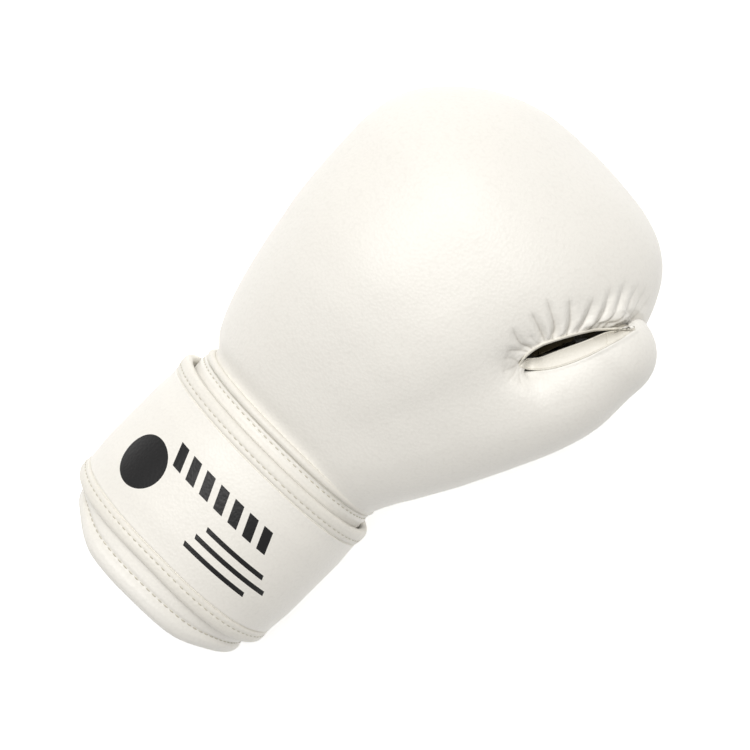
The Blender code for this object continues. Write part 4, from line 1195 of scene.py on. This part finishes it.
edge_x = np.concatenate([np.linspace(0, 0.35, 3), np.linspace(0.6, 2.3, 6), np.arange(2.7, 4.2, 0.5), np.arange(4.3, 5.8, 0.25), np.arange(6.2, 7.3, 0.4), np.arange(7.4, 8.3, 0.14), np.arange(8.5, 10, 0.5)])
half_width = (STRAP_X[1] - STRAP_X[0]) / 2
top_x = np.concatenate([STRAP_X[0] + edge_x, np.linspace(STRAP_X[0] + 10.5, STRAP_X[1] - 10.5, 32), STRAP_X[1] - edge_x[::-1]])
low_x = np.concatenate([STRAP_X[0] + np.array([0.3, 0.8, 1.5, 2.3, 5, 7.5, 8.2, 9.0]), np.linspace(STRAP_X[0] + 13, STRAP_X[1] - 13, 9), STRAP_X[1] - np.array([9.0, 8.2, 7.5, 5, 2.3, 1.5, 0.8, 0.3])])
JOINS = (225.0, 204.0, 156.5, 103.5, 50.5, -8.0, -40.0)
degrees = np.concatenate([np.linspace(a, b, max(8, int((a - b) / 1.25)), endpoint=False) for a, b in zip(JOINS[:-1], JOINS[1:])] + [[-40.0]])


def lifted(x, deg):
    """The strap stands off the cuff at its knuckle-side corner over the back of the hand."""
    corner = ramp(x, -68, -53) * np.exp(-(((deg - 6) / 20) ** 2))
    soft_wave = 0.25 * np.sin(np.radians(deg) * 5 + 1) + 0.2 * np.sin(np.radians(deg) * 11)
    return 0.9 * corner + 0.3 * (soft_wave + 0.45) + 0.25 * ramp(x, -66, -53) * (1 + np.sin(np.radians(deg) * 3))


def strap_point(x, deg, n):
    yz, normal2 = oval(deg, n)
    push = 0.6 * ramp(x, -68, -53) * np.exp(-(((deg - 6) / 20) ** 2))
    wave = 0.5 * np.sin(np.radians(deg) * 4 + 2) * ramp(-x, 110, 126)
    return np.stack([x + push + wave, yz[..., 0], np.maximum(yz[..., 1], 0.1)], -1), normal2


x_loop = np.concatenate([top_x, low_x[::-1]])
is_top = np.concatenate([np.ones(len(top_x), bool), np.zeros(len(low_x), bool)])
D, XL = np.meshgrid(degrees, x_loop, indexing="ij")
N = np.where(is_top[None], strap_top(XL, D), strap_bottom(XL, D)) + lifted(XL, D)
end = np.minimum(ramp(D, -40, -37.5), ramp(-D, -225, -222.5))
middle_n = 2.7 + lifted(XL, D)
N = middle_n + (N - middle_n) * (0.25 + 0.75 * np.sqrt(end))
strap_points, _ = strap_point(XL, D, N)
m, k = strap_points.shape[:2]
flat_points = strap_points.reshape(-1, 3)
strap_quads = grid_faces(m, k, True)
if signed_volume(flat_points, strap_quads.tolist()) < 0:
    strap_quads = strap_quads[:, ::-1]
strap_normals = vertex_normals(flat_points, strap_quads)
column_s = np.minimum(x_loop - STRAP_X[0], STRAP_X[1] - x_loop)
arc = np.zeros(m)
yz_line, _ = oval(degrees, 5.0)
arc[1:] = np.cumsum(np.linalg.norm(np.diff(yz_line, axis=0), axis=1))
arc_top = np.interp(-90.0, -degrees, arc)
U = np.repeat((arc - arc_top)[:, None], k, 1)
V = XL
row_of = strap_quads.min(1) // k
ROLES = [
    ("strap_root", None, ("glove",), ["strap_sewn_end_cover", "strap_sewn_end_padding", "strap_sewn_end_wrist_edge", "strap_sewn_end_hand_edge"]),
    ("strap_length_1", ("glove", "strap_1"), None, ["strap_1_cover", "strap_1_padding", "strap_1_wrist_edge", "strap_1_hand_edge"]),
    ("strap_length_2", ("strap_1", "strap_2"), None, ["strap_2_cover", "strap_2_padding", "strap_2_wrist_edge", "strap_2_hand_edge"]),
    ("strap_length_3", ("strap_2", "strap_3"), None, ["strap_3_cover", "strap_3_padding", "strap_3_wrist_edge", "strap_3_hand_edge"]),
    ("strap_length_4", ("strap_3", "strap_4"), None, ["strap_4_cover", "strap_4_padding", "strap_4_wrist_edge", "strap_4_hand_edge"]),
    ("strap_end", None, ("strap_4",), ["hook_pad"]),
]
for index, (name, bend, ride, nodes) in enumerate(ROLES):
    a = int(np.argmin(np.abs(degrees - JOINS[index])))
    b = int(np.argmin(np.abs(degrees - JOINS[index + 1])))
    use = np.arange(a * k, (b + 1) * k)
    start = a * k
    quads_here = [[int(v) - start for v in q] for q in strap_quads if q.min() >= start and q.max() < (b + 1) * k and not (q.max() - q.min() > 2 * k)]
    kinds_here = []
    for q in quads_here:
        cols = [v % k for v in q]
        s = max(column_s[c] for c in cols)
        kinds_here.append(1 if s < 7.9 else 0)
    pts = flat_points[use]
    nor = strap_normals[use]
    ring_first, ring_last = list(range(k)), [(b - a) * k + j for j in range(k)]
    caps = []
    if index == 0:
        caps.append(ring_first)
    if index == len(ROLES) - 1:
        caps.append(ring_last)
    total_points, total_faces, total_kinds = [pts], list(quads_here), list(kinds_here)
    for cap in caps:
        volume = signed_volume(flat_points[use], quads_here)
        total_faces.append(cap)
        total_kinds.append(1)
    normals_all = [nor]
    offset = len(pts)
    for x0 in (STRAP_X[0] + 5.0, STRAP_X[1] - 5.0):
        lo, hi = JOINS[index + 1], JOINS[index]
        deg = np.linspace(hi - (3.0 if index == 0 else 0.4), lo + (3.0 if index == len(ROLES) - 1 else 0.4), 60)
        path, n2 = strap_point(np.full(60, x0), deg, strap_top(np.full(60, x0), deg) + lifted(np.full(60, x0), deg) + 0.05)
        dp, df = dashes(path, np.column_stack([np.zeros(60), n2]))
        df = [list(q) for q in df]
        dn = vertex_normals(dp, [np.array([q for q in df if len(q) == 4]), np.array([q for q in df if len(q) == 3])])
        total_points.append(dp)
        normals_all.append(dn)
        total_faces += [[v + offset for v in q] for q in df]
        total_kinds += [2] * len(df)
        offset += len(dp)
    if JOINS[index + 1] < HOOK_FROM:
        hi = min(HOOK_FROM, JOINS[index])
        lo = max(JOINS[index + 1], -39.0)
        hp, hf = slab(hi, lo, STRAP_X[0] + 10.5, STRAP_X[1] - 10.5, 0.45, 1.5, 20, 14)
        hf = outward(hp, hf)
        total_points.append(hp)
        normals_all.append(vertex_normals(hp, np.array(hf)))
        total_faces += [[v + offset for v in q] for q in hf]
        total_kinds += [3] * len(hf)
        offset += len(hp)
    all_points = np.vstack(total_points)
    u_here = np.concatenate([U.reshape(-1)[use], np.full(len(all_points) - len(pts), 999.0)])
    v_here = np.concatenate([np.where(np.tile(is_top, b - a + 1), V.reshape(-1)[use], 0.0), np.zeros(len(all_points) - len(pts))])
    item = piece(name, all_points, total_faces, [STRAP, BINDING, THREAD, HOOK], kinds=total_kinds, attributes={"print_u": u_here, "print_v": v_here}, normals=np.vstack(normals_all))
    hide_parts(*nodes)
    if bend:
        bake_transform(item)
    else:
        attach(item, ride[0])
